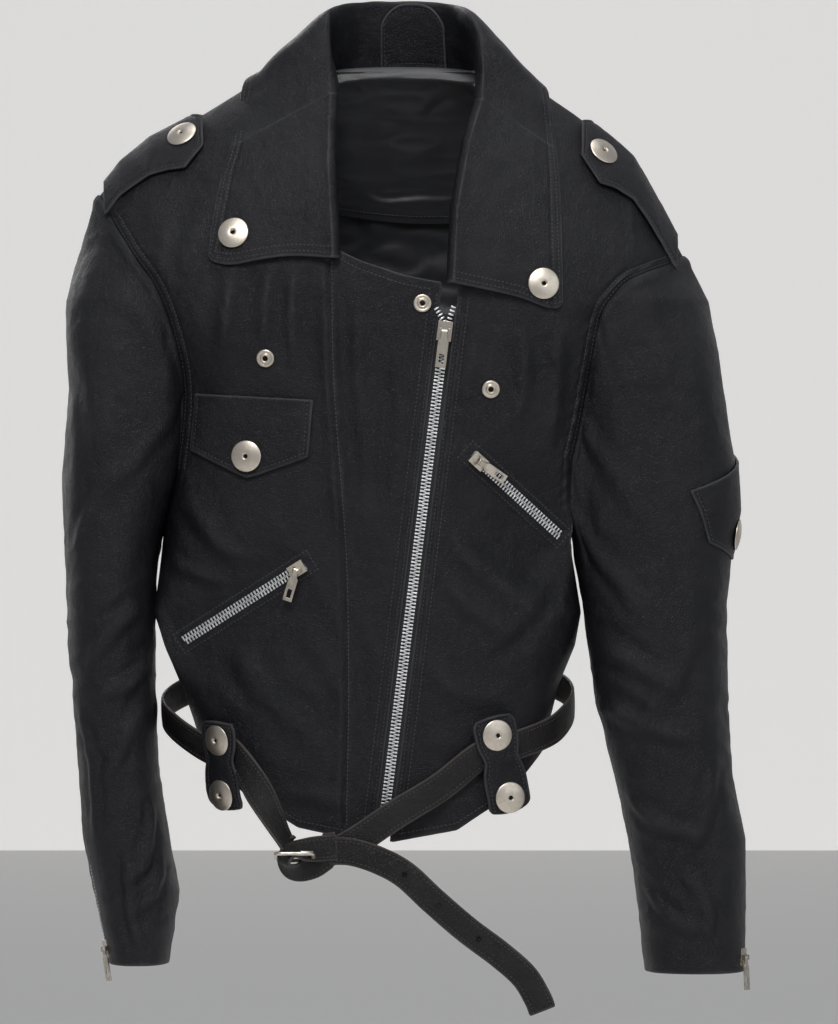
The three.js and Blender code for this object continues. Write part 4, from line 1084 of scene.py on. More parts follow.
# Flaps, epaulettes and tabs.
def buildFlaps():
    piece = {"name": "chestFlap", "material": "leather", "replaces": ["chest_flap"], "ride": "pocket_flap"}
    foot = smoothPath([(-179, -352), (-158, -363), (-135, -374), (-128, -374), (-104, -366), (-82, -358)], 40)
    grid = quadGrid([(-175, -306), (-78, -312)], foot, 90, 56)
    trimSheet(piece, frontFlat(grid[..., 0], grid[..., 1]), (0, -1, 0), 3.0, ("low",), (3.4,), 1.4)
    for side, spec in epaulettes.items():
        piece = {"name": side + "Epaulette", "material": "leather", "replaces": ["epaulette_" + side],
                 "ride": side + "_epaulette"}
        grid = quadGrid(spec["back"], spec["front"], 110, 44)
        points = shoulderPoint(grid[..., 0], grid[..., 1])
        trimSheet(piece, points, (0, -0.3, 1), 4.4, ("start",), (3.2,), 1.2)
    piece = {"name": "sleeveFlap", "material": "leather", "replaces": ["sleeve_flap"], "ride": "arm_flap"}
    s, t = np.meshgrid(np.linspace(0, 1, 90), np.linspace(0, 1, 56), indexing="ij")
    angle = mix(-1.2, 0.35, s) + 0.3 * t
    foot = -242 - 14 * (1 - np.abs(2 * s - 1))
    drop = mix(mix(-200, -166, s), foot, t)
    points = sleeveRing(leftSleeve, angle, leftSleeve["tip"][1] + drop)
    trimSheet(piece, points, (1, -0.5, 0), 4.2, ("low",), (3.2,), 1.2)


epaulettes = {
    "right": {"back": [(-254, 6), (-196, 6), (-184, 4), (-172, -8)],
              "front": [(-252, -24), (-200, -37), (-186, -42), (-171, -34)]},
    "left": {"back": [(229, 6), (174, 6), (160, 4), (150, -8)],
             "front": [(227, -26), (178, -40), (164, -46), (149, -38)]},
}
tabs = {
    "right": {"top": (-152, -596), "foot": (-149, -638), "width": 34},
    "left": {"top": (74, -592), "foot": (84, -640), "width": 34},
}
tabLift, footStart, footLength = 7.4, 8, 24


def tabFrame(tab):
    middle = [(tab["top"][0] + tab["foot"][0]) / 2, (tab["top"][1] + tab["foot"][1]) / 2]
    out = frontNormal(*middle)
    a = frontFlat(*tab["top"]) + out * tabLift
    b = frontFlat(*tab["foot"]) + out * tabLift
    y = unit(b - a)
    x = unit(np.cross(y, out))
    return a, x, y, np.cross(x, y), np.linalg.norm(b - a)


def buildTabs():
    for side, tab in tabs.items():
        a, x, y, z, reach = tabFrame(tab)
        s, t = np.meshgrid(np.linspace(-1, 1, 56), np.linspace(0, 1, 110), indexing="ij")
        down = mix(-15.5, reach + footLength - footStart + 1, t)
        end = down[0, -1]
        waist = 1 - 0.2 * np.exp(-((down - reach * 0.42) / 9)**2)
        corner = np.minimum(down + 15.5, end - down)
        rounding = 1 - 0.2 * (1 - np.clip(corner / 7, 0, 1))**2
        width = tab["width"] / 2 * 1.04 * waist * rounding
        ends = -3.0 * s**2 * np.sign(t - 0.5) * np.abs(2 * t - 1)**6
        bow = -1.6 * s**2 - 4.5 * ease((down - reach) / 24)
        bow += 1.3 * np.exp(-((down - reach * 0.4) / 13)**2)
        points = a + x * (s * width)[..., None] + y * (down + ends)[..., None] + z * bow[..., None]
        piece = {"name": side + "Tab", "material": "leather",
                 "replaces": ["belt_tab_" + side, "belt_tab_foot_" + side],
                 "between": ("jacket", side + "_tab", a + y * (reach - 5), a + y * (reach - 13))}
        trimSheet(piece, points, z, size["layer"], (), (3.0,), 0.4)


# Belt.
def strapMesh(piece, route, width, steps, thick=2.8):
    route = [np.concatenate([np.asarray(p, float), unit(look)]) for p, look in route]
    line = smoothPath(route, steps)
    middle = line[:, :3]
    along = unit(np.gradient(middle, axis=0))
    across = unit(np.cross(along, line[:, 3:]))
    face = unit(np.cross(across, along))
    t = np.linspace(-1, 1, 15)
    hump = 0.5 * (1 - t**2) - 0.35 * np.exp(-((np.abs(t) - 0.78) / 0.1)**2)
    sway = noiseAt(middle, (40, 40, 40), 3.3)[:, None] * 0.8
    points = middle[:, None] + across[:, None] * (t * width / 2)[None, :, None]
    points += face[:, None] * (hump[None] + thick / 2 + sway)[..., None]
    obj = sheetMesh(piece["name"], points, thick, face[steps // 2])
    storeWear(obj, 0.9)
    finishPiece(obj, piece)
    up = np.repeat(face[:, None], 15, 1)
    for k in (1.55, 12.45):
        i = int(k)
        addStitches(piece, mix(points[2:-2, i], points[2:-2, i + 1], k - i), up[2:-2, i])
    return middle, face


def beltRoute():
    def front(x, z, lift):
        n = frontNormal(x, z)
        return frontFlat(x, z) + np.array([0, -lift, 0]), n

    def behind(x, z, lift):
        depth = float(plainDepth(np.array(float(x)), np.array(float(z)), 1))
        return np.array([x, depth + lift, z]), np.array([x * 0.002, 1, 0])

    def underTab(tab, across):
        a, x, y, z, reach = tabFrame(tab)
        return a + x * across + y * reach * 0.28 - z * 3.6, z

    def free(x, y, z, *look):
        return np.array([x, y, z], float), np.array(look, float)

    return [
        free(-95, -104, -688, 0.9, -0.35, 0.5), free(-104, -102, -674, 0.7, -0.6, 0.3),
        underTab(tabs["right"], -15), underTab(tabs["right"], 15),
        free(-196, -22, -588, -1, -0.3, 0), free(-206, 10, -572, -1, 0.2, 0),
        free(-178, 70, -556, -0.7, 0.7, 0),
        behind(-118, -548, 8), behind(-30, -545, 5), behind(60, -546, 7), free(122, 60, -552, 0.8, 0.6, 0),
        free(143, 8, -566, 1, 0, 0), free(128, -42, -588, 0.8, -0.6, 0),
        underTab(tabs["left"], -15), underTab(tabs["left"], 15), front(30, -636, 5),
        free(-8, -94, -659, 0, -1, 0),
        free(-50, -97, -686, 0, -1, 0), free(-73, -98, -689, 0, -1, 0),
    ]


tailRoute = [
    ((-62, -101.0, -689), (0, -1, 0.1)), ((-44, -101.4, -690), (0, -1, 0)), ((-22, -102, -697), (0, -1, 0)),
    ((0, -103, -709), (0.1, -1, 0)),
    ((24, -104, -731), (0.1, -1, 0)), ((52, -105, -755), (0.1, -1, 0)), ((80, -105, -776), (0, -1, 0)),
    ((100, -105, -794), (0, -1, 0)), ((111, -105, -812), (0, -1, 0)), ((115, -105, -822), (0, -1, 0))]


# the end doubled back through the buckle
foldRoute = [
    ((-58, -101.2, -686), (0, -1, 0.1)), ((-70, -104, -687), (0, -1, 0.1)),
    ((-84, -112, -688), (-0.1, -1, 0.5)),
    ((-97, -120, -689), (-0.6, -0.6, 0.6)), ((-101, -118, -698), (-0.9, -0.5, -0.2)),
    ((-92, -112, -705), (-0.3, -0.8, -0.5)),
    ((-78, -105, -702), (0, -1, -0.3)), ((-66, -101.5, -694), (0, -1, -0.2))]


def buildBelt():
    piece = {"name": "beltStrap", "material": "strap", "replaces": ["belt"], "ride": "jacket"}
    strapMesh(piece, beltRoute(), 22, 560)
    piece = {"name": "beltTail", "material": "strap", "replaces": ["belt_tail"], "ride": "tail"}
    middle, face = strapMesh(piece, tailRoute, 20.5, 200)
    # punched holes, as eyelet-shaped discs sunk in the strap, near-black all over: painted shade standing in
    # for the open holes
    for k in (66, 92, 118):
        ring = lathe([(0, 0.25), (1.5, 0.25), (1.9, 0.75), (2.3, 0.35), (2.3, -0.6), (0, -0.6)], 20,
                     middle[k] + face[k] * 1.9, face[k])
        ring.name = "punchedHole%d" % k
        finishPiece(ring, {"name": ring.name, "material": "dark", "ride": "tail"})
    piece = {"name": "beltFold", "material": "strap", "ride": "jacket"}
    strapMesh(piece, foldRoute, 19, 150)
    piece = {"name": "beltKeeper", "material": "strap", "replaces": ["belt_keeper"], "ride": "jacket"}
    angle = np.linspace(0, 2 * math.pi, 72, endpoint=False)
    ring = np.stack([np.zeros(72), 3.6 * np.sign(np.cos(angle)) * np.abs(np.cos(angle))**0.45,
                     14.3 * np.sign(np.sin(angle)) * np.abs(np.sin(angle))**0.45], -1)
    t = np.linspace(-4.6, 4.6, 10)
    points = np.array([-64, -97.9, -688]) + ring[:, None] + np.array([1, 0, 0]) * t[None, :, None]
    points[..., 2] += (points[..., 0] + 64) * 0.13
    obj = sheetMesh(piece["name"], points, 1.6, (0, -1, 0), cyclic=True)
    storeWear(obj)
    finishPiece(obj, piece)
    buildBuckle()


def tube(name, path, radius, closed=False, sides=14, flat=1.0, up=(0, 0, 1)):
    path = np.asarray(path, float)
    if closed:
        tangent = unit(np.roll(path, -1, 0) - np.roll(path, 1, 0))
    else:
        tangent = unit(np.gradient(path, axis=0))
    up = np.broadcast_to(np.asarray(up, float), path.shape)
    side = unit(np.cross(tangent, up))
    top = unit(np.cross(side, tangent))
    angle = np.linspace(0, 2 * math.pi, sides, endpoint=False)
    radius = np.broadcast_to(radius, (len(path),))[:, None, None]
    ring = side[:, None] * np.cos(angle)[None, :, None] + top[:, None] * (np.sin(angle) * flat)[None, :, None]
    verts = (path[:, None] + ring * radius).reshape(-1, 3)
    n = len(path)
    faces = []
    for i in range(n if closed else n - 1):
        for j in range(sides):
            a, b = i * sides + j, i * sides + (j + 1) % sides
            c, d = (i + 1) % n * sides + (j + 1) % sides, (i + 1) % n * sides + j
            faces.append((a, b, c, d))
    if not closed:
        faces.append(tuple(range(sides))[::-1])
        faces.append(tuple(range((n - 1) * sides, n * sides)))
    return meshObject(name, verts, faces)


buckle = {"at": np.array([-92, -118, -693.0]), "width": 34, "depth": 28, "wire": 1.9, "tilt": -0.3}


def buildBuckle():
    c, s = math.cos(buckle["tilt"]), math.sin(buckle["tilt"])
    turn = np.array([[1, 0, 0], [0, c, -s], [0, s, c]])
    w, d = buckle["width"] / 2 - 1.7, buckle["depth"] / 2 - 1.7
    angle = np.linspace(0, 2 * math.pi, 96, endpoint=False)
    x = w * np.sign(np.cos(angle)) * np.abs(np.cos(angle))**0.32
    y = d * np.sign(np.sin(angle)) * np.abs(np.sin(angle))**0.32
    z = 0.9 * np.cos(angle * 2)
    loop = np.stack([x, y, z * 0.4], -1) @ turn.T + buckle["at"]
    frameObject = tube("buckleFrame", loop, buckle["wire"], True, 16, 0.85, turn[:, 2])
    finishPiece(frameObject,
                {"name": "buckleFrame", "material": "nickel", "replaces": ["buckle_frame"], "ride": "buckle"})
    t = np.linspace(0, 1, 40)
    wire = np.stack([mix(w + 0.4, -w - 2.2, t), t * 0, 3.4 + 0.9 * np.sin(math.pi * t) - 0.5 * t],
                    -1) @ turn.T + buckle["at"]
    radius = 1.35 - 0.35 * t
    prong = tube("buckleProng", wire, radius, False, 14, 1.0, turn[:, 2])
    finishPiece(prong, {"name": "buckleProng", "material": "nickel", "replaces": ["buckle_prong"],
                        "ride": "prong"})


# Round metal.
def lathe(profile, segments, base, normal):
    normal = unit(normal)
    side = unit(np.cross(normal, [0.3, 0.2, 0.9] if abs(normal[1]) > 0.5 else [0, 1, 0.1]))
    other = np.cross(normal, side)
    angle = np.linspace(0, 2 * math.pi, segments, endpoint=False)
    ring = side[None] * np.cos(angle)[:, None] + other[None] * np.sin(angle)[:, None]
    verts, faces = [], []
    inside = [p for p in profile if p[0] > 1e-6]
    for r, h in inside:
        verts.append(base + normal * h + ring * r)
    verts = np.vstack(verts + [base[None] + normal * profile[0][1], base[None] + normal * profile[-1][1]])
    n = len(inside)
    for i in range(n - 1):
        for j in range(segments):
            k = (j + 1) % segments
            faces.append((i * segments + j, i * segments + k, (i + 1) * segments + k, (i + 1) * segments + j))
    first, last = n * segments, n * segments + 1
    for j in range(segments):
        k = (j + 1) % segments
        faces.append((first, k, j))
        faces.append(((n - 1) * segments + j, (n - 1) * segments + k, last))
    return meshObject("lathe", verts, faces)


# Base and axis of a round frame piece, from its own shape.
def roundAxis(node, outward):
    mesh = frame["nodes"][node].data
    co = np.array([v.co for v in mesh.vertices]) * 1000
    centre = co.mean(0)
    _, _, axes = np.linalg.svd(co - centre)
    best = None
    for axis in axes:
        height = (co - centre) @ axis
        span = height.max() - height.min()
        if best is None or span < best[0]:
            best = (span, axis)
    axis = best[1] if best[1] @ np.asarray(outward, float) > 0 else -best[1]
    height = (co - centre) @ axis
    rim = co[np.linalg.norm((co - centre) - height[:, None] * axis, axis=1) > 6]
    middle = (rim.max(0) + rim.min(0)) / 2
    middle = middle - axis * ((middle - centre) @ axis) + axis * height.min()
    return middle, axis


capProfile = [(0, 0), (11.4, 0), (12.3, 0.25), (12.6, 0.7), (12.4, 1.15), (11.8, 1.45), (9.5, 2.15),
              (7.0, 2.75),
              (5.2, 3.05), (3.4, 3.2), (2.5, 3.12), (2.0, 2.85), (1.75, 2.3), (1.7, 1.3), (0, 1.25)]
studProfile = [(0, 0), (7.2, 0), (7.6, 0.4), (7.5, 1.0), (6.9, 1.5), (6.0, 1.6), (5.2, 1.2), (4.6, 1.0),
               (4.1, 1.3),
               (3.9, 2.6), (3.5, 3.0), (2.8, 2.9), (2.3, 2.4), (2.1, 1.4), (0, 1.3)]


def discMaterial(name, color, rough):
    # turned metal: fine rings of polish round the middle, stored as the "polish" attribute
    material, nodes, links, shader = nodeMaterial(name)
    coords = nodes.new("ShaderNodeTexCoord").outputs["Object"]
    polish = nodes.new("ShaderNodeAttribute")
    polish.attribute_name = "polish"
    cloud = noiseNode(nodes, links, coords, 240, 5, 0.7)
    streak = nodes.new("ShaderNodeTexNoise")
    streak.noise_dimensions = "1D"
    streak.inputs["Scale"].default_value = 60
    streak.inputs["Detail"].default_value = 5
    links.new(polish.outputs["Fac"], streak.inputs["W"])
    mixed = mathNode(nodes, links, "ADD", mathNode(nodes, links, "MULTIPLY", streak.outputs["Fac"], 0.6),
                     mathNode(nodes, links, "MULTIPLY", cloud, 0.4))
    color = rampNode(nodes, links, mixed,
                     [(0.3, tuple(c * 0.55 for c in color)), (0.5, tuple(c * 0.86 for c in color)),
                      (0.68, color)])
    links.new(color, shader.inputs["Base Color"])
    shader.inputs["Metallic"].default_value = 1
    links.new(rampNode(nodes, links, mixed, [(0.3, (rough + 0.2,) * 3), (0.7, (rough,) * 3)]),
              shader.inputs["Roughness"])
    bump = nodes.new("ShaderNodeBump")
    bump.inputs["Strength"].default_value = 0.25
    bump.inputs["Distance"].default_value = 0.0001
    links.new(streak.outputs["Fac"], bump.inputs["Height"])
    links.new(bump.outputs["Normal"], shader.inputs["Normal"])
    return material


materials["disc"] = discMaterial("turnedNickel", (0.66, 0.595, 0.51), 0.30)

roundPieces = {
    "lapel_cap_right": ("right_lapel", (0, -1, 0)), "lapel_cap_left": ("left_lapel", (0, -1, 0)),
    "chest_flap_cap": ("pocket_flap", (0, -1, 0)), "sleeve_flap_cap": ("arm_flap", (1, -0.5, 0)),
    "epaulette_cap_right": ("right_epaulette", (0, -0.3, 1)),
    "epaulette_cap_left": ("left_epaulette", (0, -0.3, 1)),
    "belt_tab_cap_right": ("right_tab", (0, -1, 0)), "belt_tab_cap_left": ("left_tab", (0, -1, 0)),
    "belt_foot_cap_right": ("jacket", (0, -1, 0)), "belt_foot_cap_left": ("jacket", (0, -1, 0)),
    "fly_stud": ("jacket", (0, -1, 0)), "chest_stud_right": ("jacket", (0, -1, 0)),
    "chest_stud_left": ("jacket", (0, -1, 0)),
}


def buildRound():
    for node, (body, outward) in roundPieces.items():
        base, axis = roundAxis(node, outward)
        isStud = "stud" in node
        raised = 0.0 if isStud else 0.5
        if "foot" in node or "tab" in node:
            raised = -0.2
        profile = studProfile if isStud else [(r * 1.05, h) for r, h in capProfile]
        obj = lathe(profile, 72, base + axis * raised, axis)
        name = "".join(w.capitalize() if i else w for i, w in enumerate(node.split("_"))) + "Disc"
        obj.name = name
        co = np.array([v.co for v in obj.data.vertices]) * 1000 - base
        radius = np.linalg.norm(co - (co @ axis)[:, None] * axis, axis=1)
        attribute = obj.data.attributes.new("polish", "FLOAT", "POINT")
        attribute.data.foreach_set("value", (radius / 12).astype(np.float32))
        finishPiece(obj, {"name": name, "material": "disc", "replaces": [node], "ride": body})
        # a near-black disc at the bottom of the middle recess: painted shade standing in for the depth of the
        # hole
        width = 2.1 if isStud else 1.72
        hole = lathe([(0, 0.0), (width, 0.0), (width, 0.2), (0, 0.2)], 24, base + axis * (raised + 1.25),
                     axis)
        hole.name = name.replace("Disc", "Hole")
        finishPiece(hole, {"name": hole.name, "material": "dark", "ride": body})


# Zips.
def trackFrame(track):
    a, b = frontFlat(*track["from"]), frontFlat(*track["to"])
    middle = [(track["from"][i] + track["to"][i]) / 2 for i in (0, 1)]
    out = frontNormal(*middle)
    y = unit(b - a)
    x = unit(np.cross(y, out))
    z = np.cross(x, y)
    return {"at": a - z * 1.0, "x": x, "y": y, "z": z, "length": np.linalg.norm(b - a)}


def cuffFrame(sleeve):
    a, b = cuffEnds(sleeve)
    y = unit(b - a)
    x = unit(np.cross(y, [sleeve["sign"] * 0.85, -0.5, 0]))
    z = np.cross(x, y)
    return {"at": a - z * 1.0, "x": x, "y": y, "z": z, "length": np.linalg.norm(b - a)}


def boxVerts(lo, hi):
    return np.array([[x, y, z] for x in (lo[0], hi[0]) for y in (lo[1], hi[1]) for z in (lo[2], hi[2])],
                    float)


boxFaces = [(0, 1, 3, 2), (4, 6, 7, 5), (0, 4, 5, 1), (2, 3, 7, 6), (0, 2, 6, 4), (1, 5, 7, 3)]


def toothPair(pitch, material):
    verts, faces = [], []
    for side in (-1, 1):
        shift = pitch / 4 * side
        for lo, hi in (((0.3, -0.58, 0.1), (3.7, 0.58, 2.0)), ((-0.9, -0.4, 0.35), (0.6, 0.4, 1.6)),
                       ((2.7, -0.82, 0.0), (4.1, 0.82, 2.2))):
            v = boxVerts(lo, hi)
            v[:, 0] *= side
            v[:, 1] += shift
            faces += [tuple(i + len(verts) for i in (f if side > 0 else f[::-1])) for f in boxFaces]
            verts += v.tolist()
    mesh = bpy.data.meshes.new("toothPair")
    mesh.from_pydata((np.array(verts) * 0.001).tolist(), [], faces)
    mesh.materials.append(materials[material])
    obj = bpy.data.objects.new("toothPair", mesh)
    bpy.context.scene.collection.objects.link(obj)
    bevelled(obj, 0.00014, 1)
    return obj


def bevelled(obj, width, segments=2):
    modifier = obj.modifiers.new("bevel", "BEVEL")
    modifier.width = width
    modifier.segments = segments
    modifier.limit_method = "ANGLE"
    bpy.context.view_layer.update()
    mesh = bpy.data.meshes.new_from_object(obj.evaluated_get(bpy.context.evaluated_depsgraph_get()))
    obj.modifiers.clear()
    obj.data = mesh
    return obj


def stitchShape():
    verts, faces = [], []
    sides, rings = 6, 5
    for i in range(rings):
        x = mix(-1.25, 1.25, i / (rings - 1))
        r = 0.42 * math.sqrt(max(0.12, 1 - (x / 1.35)**2))
        for j in range(sides):
            a = 2 * math.pi * j / sides
            verts.append((x, r * math.cos(a) * 1.1, r * math.sin(a) * 0.8 - 0.22 * (x / 1.25)**2))
    for i in range(rings - 1):
        for j in range(sides):
            k = (j + 1) % sides
            faces.append((i * sides + j, i * sides + k, (i + 1) * sides + k, (i + 1) * sides + j))
    faces.append(tuple(range(sides))[::-1])
    faces.append(tuple(range((rings - 1) * sides, rings * sides)))
    mesh = bpy.data.meshes.new("stitchShape")
    mesh.from_pydata((np.array(verts) * 0.001).tolist(), [], faces)
    obj = bpy.data.objects.new("stitchShape", mesh)
    bpy.context.scene.collection.objects.link(obj)
    faceOutward(obj)
    return obj


# One node group: copies of a shape along paths, turned by the path and its stored "up".
def alongPathGroup():
    group = bpy.data.node_groups.new("alongPath", "GeometryNodeTree")
    group.interface.new_socket("Geometry", in_out="INPUT", socket_type="NodeSocketGeometry")
    group.interface.new_socket("Shape", in_out="INPUT", socket_type="NodeSocketObject")
    group.interface.new_socket("Spacing", in_out="INPUT", socket_type="NodeSocketFloat")
    group.interface.new_socket("Material", in_out="INPUT", socket_type="NodeSocketMaterial")
    group.interface.new_socket("Geometry", in_out="OUTPUT", socket_type="NodeSocketGeometry")
    nodes, links = group.nodes, group.links
    source = nodes.new("NodeGroupInput")
    result = nodes.new("NodeGroupOutput")
    toCurve = nodes.new("GeometryNodeMeshToCurve")
    resample = nodes.new("GeometryNodeResampleCurve")
    resample.mode = "LENGTH"
    tangent = nodes.new("GeometryNodeInputTangent")
    up = nodes.new("GeometryNodeInputNamedAttribute")
    up.data_type = "FLOAT_VECTOR"
    up.inputs["Name"].default_value = "up"
    turn = nodes.new("FunctionNodeAxesToRotation")
    turn.primary_axis = "X"
    turn.secondary_axis = "Z"
    info = nodes.new("GeometryNodeObjectInfo")
    place = nodes.new("GeometryNodeInstanceOnPoints")
    real = nodes.new("GeometryNodeRealizeInstances")
    paint = nodes.new("GeometryNodeSetMaterial")
    links.new(source.outputs["Geometry"], toCurve.inputs["Mesh"])
    links.new(toCurve.outputs["Curve"], resample.inputs["Curve"])
    links.new(source.outputs["Spacing"], resample.inputs["Length"])
    links.new(resample.outputs["Curve"], place.inputs["Points"])
    links.new(source.outputs["Shape"], info.inputs["Object"])
    links.new(info.outputs["Geometry"], place.inputs["Instance"])
    links.new(tangent.outputs[0], turn.inputs[0])
    links.new(up.outputs["Attribute"], turn.inputs[1])
    links.new(turn.outputs["Rotation"], place.inputs["Rotation"])
    links.new(place.outputs["Instances"], real.inputs["Geometry"])
    links.new(real.outputs["Geometry"], paint.inputs["Geometry"])
    links.new(source.outputs["Material"], paint.inputs["Material"])
    links.new(paint.outputs["Geometry"], result.inputs["Geometry"])
    return group


alongPath = alongPathGroup()


def socketId(group, name):
    return next(i.identifier for i in group.interface.items_tree if i.name == name and i.in_out == "INPUT")


def repeatAlong(name, paths, shape, spacing, material):
    verts, edges, ups = [], [], []
    for path, up in paths:
        edges += [(len(verts) + i, len(verts) + i + 1) for i in range(len(path) - 1)]
        verts += (np.asarray(path) * 0.001).tolist()
        ups += np.asarray(up).tolist()
    mesh = bpy.data.meshes.new(name)
    mesh.from_pydata(verts, edges, [])
    attribute = mesh.attributes.new("up", "FLOAT_VECTOR", "POINT")
    attribute.data.foreach_set("vector", np.asarray(ups, np.float32).ravel())
    obj = bpy.data.objects.new(name, mesh)
    bpy.context.scene.collection.objects.link(obj)
    modifier = obj.modifiers.new("alongPath", "NODES")
    modifier.node_group = alongPath
    modifier[socketId(alongPath, "Shape")] = shape
    modifier[socketId(alongPath, "Spacing")] = spacing * 0.001
    modifier[socketId(alongPath, "Material")] = material
    bpy.context.view_layer.update()
    real = bpy.data.meshes.new_from_object(obj.evaluated_get(bpy.context.evaluated_depsgraph_get()))
    obj.modifiers.clear()
    obj.data = real
    if "up" in real.attributes:
        real.attributes.remove(real.attributes["up"])
    real.polygons.foreach_set("use_smooth", [True] * len(real.polygons))
    return obj


zipPieces = {
    "main": {"frame": lambda: trackFrame(tracks["main"]), "slot": 16, "ends": 6, "body": "jacket",
             "tape": "main_zip_tape", "teeth": "main_zip_teeth"},
    "sidePocket": {"frame": lambda: trackFrame(tracks["side"]), "slot": 14, "ends": 2, "body": "jacket",
                   "tape": "side_pocket_tape", "teeth": "side_pocket_teeth"},
    "chestPocket": {"frame": lambda: trackFrame(tracks["chest"]), "slot": 14, "ends": 2, "body": "jacket",
                    "tape": "chest_pocket_tape", "teeth": "chest_pocket_teeth"},
    "rightCuff": {"frame": lambda: cuffFrame(rightSleeve), "slot": 14, "ends": 3, "body": "right_sleeve",
                  "tape": None, "teeth": "cuff_zip_right"},
    "leftCuff": {"frame": lambda: cuffFrame(leftSleeve), "slot": 14, "ends": 3, "body": "left_sleeve",
                 "tape": None, "teeth": "cuff_zip_left"},
}


def buildZips():
    pitch = 3.0
    tooth = toothPair(pitch, "aluminium")
    for name, spec in zipPieces.items():
        f = spec["frame"]()
        half = spec["slot"] / 2 + 1.2
        for side in (-1, 1):
            s, t = np.meshgrid(np.linspace(0, 1, 8), np.linspace(0, 1, max(30, int(f["length"] / 3))),
                               indexing="ij")
            acrossTape = side * mix(0.35, half, s)
            downTape = mix(-spec["ends"], f["length"] + spec["ends"], t)
            lift = -0.35 - 0.25 * np.sin(downTape * 0.5) * s - 0.8 * s**2
            points = (f["at"] + f["x"] * acrossTape[..., None] + f["y"] * downTape[..., None]
                      + f["z"] * lift[..., None])
            label = "Left" if side > 0 else "Right"
            piece = {"name": name + "Tape" + label, "material": "tape", "ride": spec["body"]}
            if side > 0 and spec["tape"]:
                piece["replaces"] = [spec["tape"]]
            obj = sheetMesh(piece["name"], points, 0.9, f["z"])
            finishPiece(obj, piece)
        line = f["at"] + f["y"] * np.linspace(1.5, f["length"] - 1.5, 40)[:, None] + f["z"] * 0.1
        paths = [(line, np.repeat(f["z"][None], 40, 0))]
        obj = repeatAlong(name + "Teeth", paths, toothTurned(tooth), pitch, materials["aluminium"])
        finishPiece(obj, {"name": name + "Teeth", "material": "aluminium", "ride": spec["body"],
                          "replaces": [spec["teeth"]]})
        if name == "main":
            for side in (-1, 1):
                t = np.linspace(0, 1, 12)
                apart = side * (2.0 + t * (5 + 2.5 * side))
                rise = 0.5 - (11.5 - side * 1.5) * t
                reach = (f["at"] + f["x"] * apart[:, None] + f["y"] * rise[:, None]
                         + f["z"] * (0.3 + 0.6 * t)[:, None])
                arm = repeatAlong(name + "LooseTeeth" + str(side + 1),
                                  [(reach, np.repeat(f["z"][None], 12, 0))],
                                  looseTooth(), pitch, materials["aluminium"])
                finishPiece(arm, {"name": arm.name, "material": "aluminium", "ride": "jacket"})
    for shape in list(spares):
        bpy.data.objects.remove(shape)
    bpy.data.objects.remove(tooth)


spares = []


def toothTurned(tooth):
    # the path runs along x, so the pair lies across y
    mesh = tooth.data.copy()
    mesh.transform(Matrix.Rotation(math.pi / 2, 4, "Z"))
    obj = bpy.data.objects.new("toothTurned", mesh)
    bpy.context.scene.collection.objects.link(obj)
    spares.append(obj)
    return obj


def looseTooth():
    verts, faces = [], []
    for lo, hi in (((-0.7, -1.4, 0.1), (0.7, 2.0, 2.2)), ((-0.45, -2.3, 0.4), (0.45, -1.2, 1.7))):
        v = boxVerts(lo, hi)
        faces += [tuple(i + len(verts) for i in f) for f in boxFaces]
        verts += v.tolist()
    mesh = bpy.data.meshes.new("looseTooth")
    mesh.from_pydata((np.array(verts) * 0.001).tolist(), [], faces)
    obj = bpy.data.objects.new("looseTooth", mesh)
    bpy.context.scene.collection.objects.link(obj)
    faceOutward(obj)
    bevelled(obj, 0.00014, 1)
    spares.append(obj)
    return obj


# Sliders, pulls and the box keep the frame's shape, with their edges rounded.
smallMetal = {
    "main_slider": "zip_slider", "main_pull": "zip_pull", "side_pocket_slider": "side_slider",
    "side_pocket_pull": "side_pull",
    "chest_pocket_slider": "chest_slider", "chest_pocket_pull": "chest_pull",
    "cuff_slider_right": "right_cuff_slider",
    "cuff_slider_left": "left_cuff_slider", "cuff_pull_right": "right_cuff_pull",
    "cuff_pull_left": "left_cuff_pull",
    "main_zip_box": "jacket",
}


def buildSmallMetal():
    pivots = {}
    for node, body in smallMetal.items():
        mesh = frame["nodes"][node].data.copy()
        corners = np.array([v.co for v in mesh.vertices])
        if "pull" not in node:
            pivots[node.replace("slider", "pull")] = corners.mean(0)
        pivot = Vector(pivots[node] if "pull" in node else corners.mean(0))
        grow = 1.0 if "box" in node else 1.28 if "main" in node else 1.15
        mesh.transform(Matrix.Translation(pivot) @ Matrix.Scale(grow, 4) @ Matrix.Translation(-pivot))
        obj = bpy.data.objects.new("".join(w.capitalize() if i else w for i,
                                           w in enumerate(node.split("_"))) + "Metal", mesh)
        bpy.context.scene.collection.objects.link(obj)
        work = bmesh.new()
        work.from_mesh(mesh)
        bmesh.ops.remove_doubles(work, verts=work.verts, dist=1e-6)
        bmesh.ops.dissolve_limit(work, angle_limit=0.02, verts=work.verts, edges=work.edges)
        work.to_mesh(mesh)
        work.free()
        bevelled(obj, 0.0004, 3)
        faceOutward(obj)
        for name in [a.name for a in obj.data.attributes if a.name.startswith("custom_normal")]:
            obj.data.attributes.remove(obj.data.attributes[name])
        obj.data.polygons.foreach_set("use_smooth", [False] * len(obj.data.polygons))
        finishPiece(obj, {"name": obj.name, "material": "nickel", "replaces": [node], "ride": body})


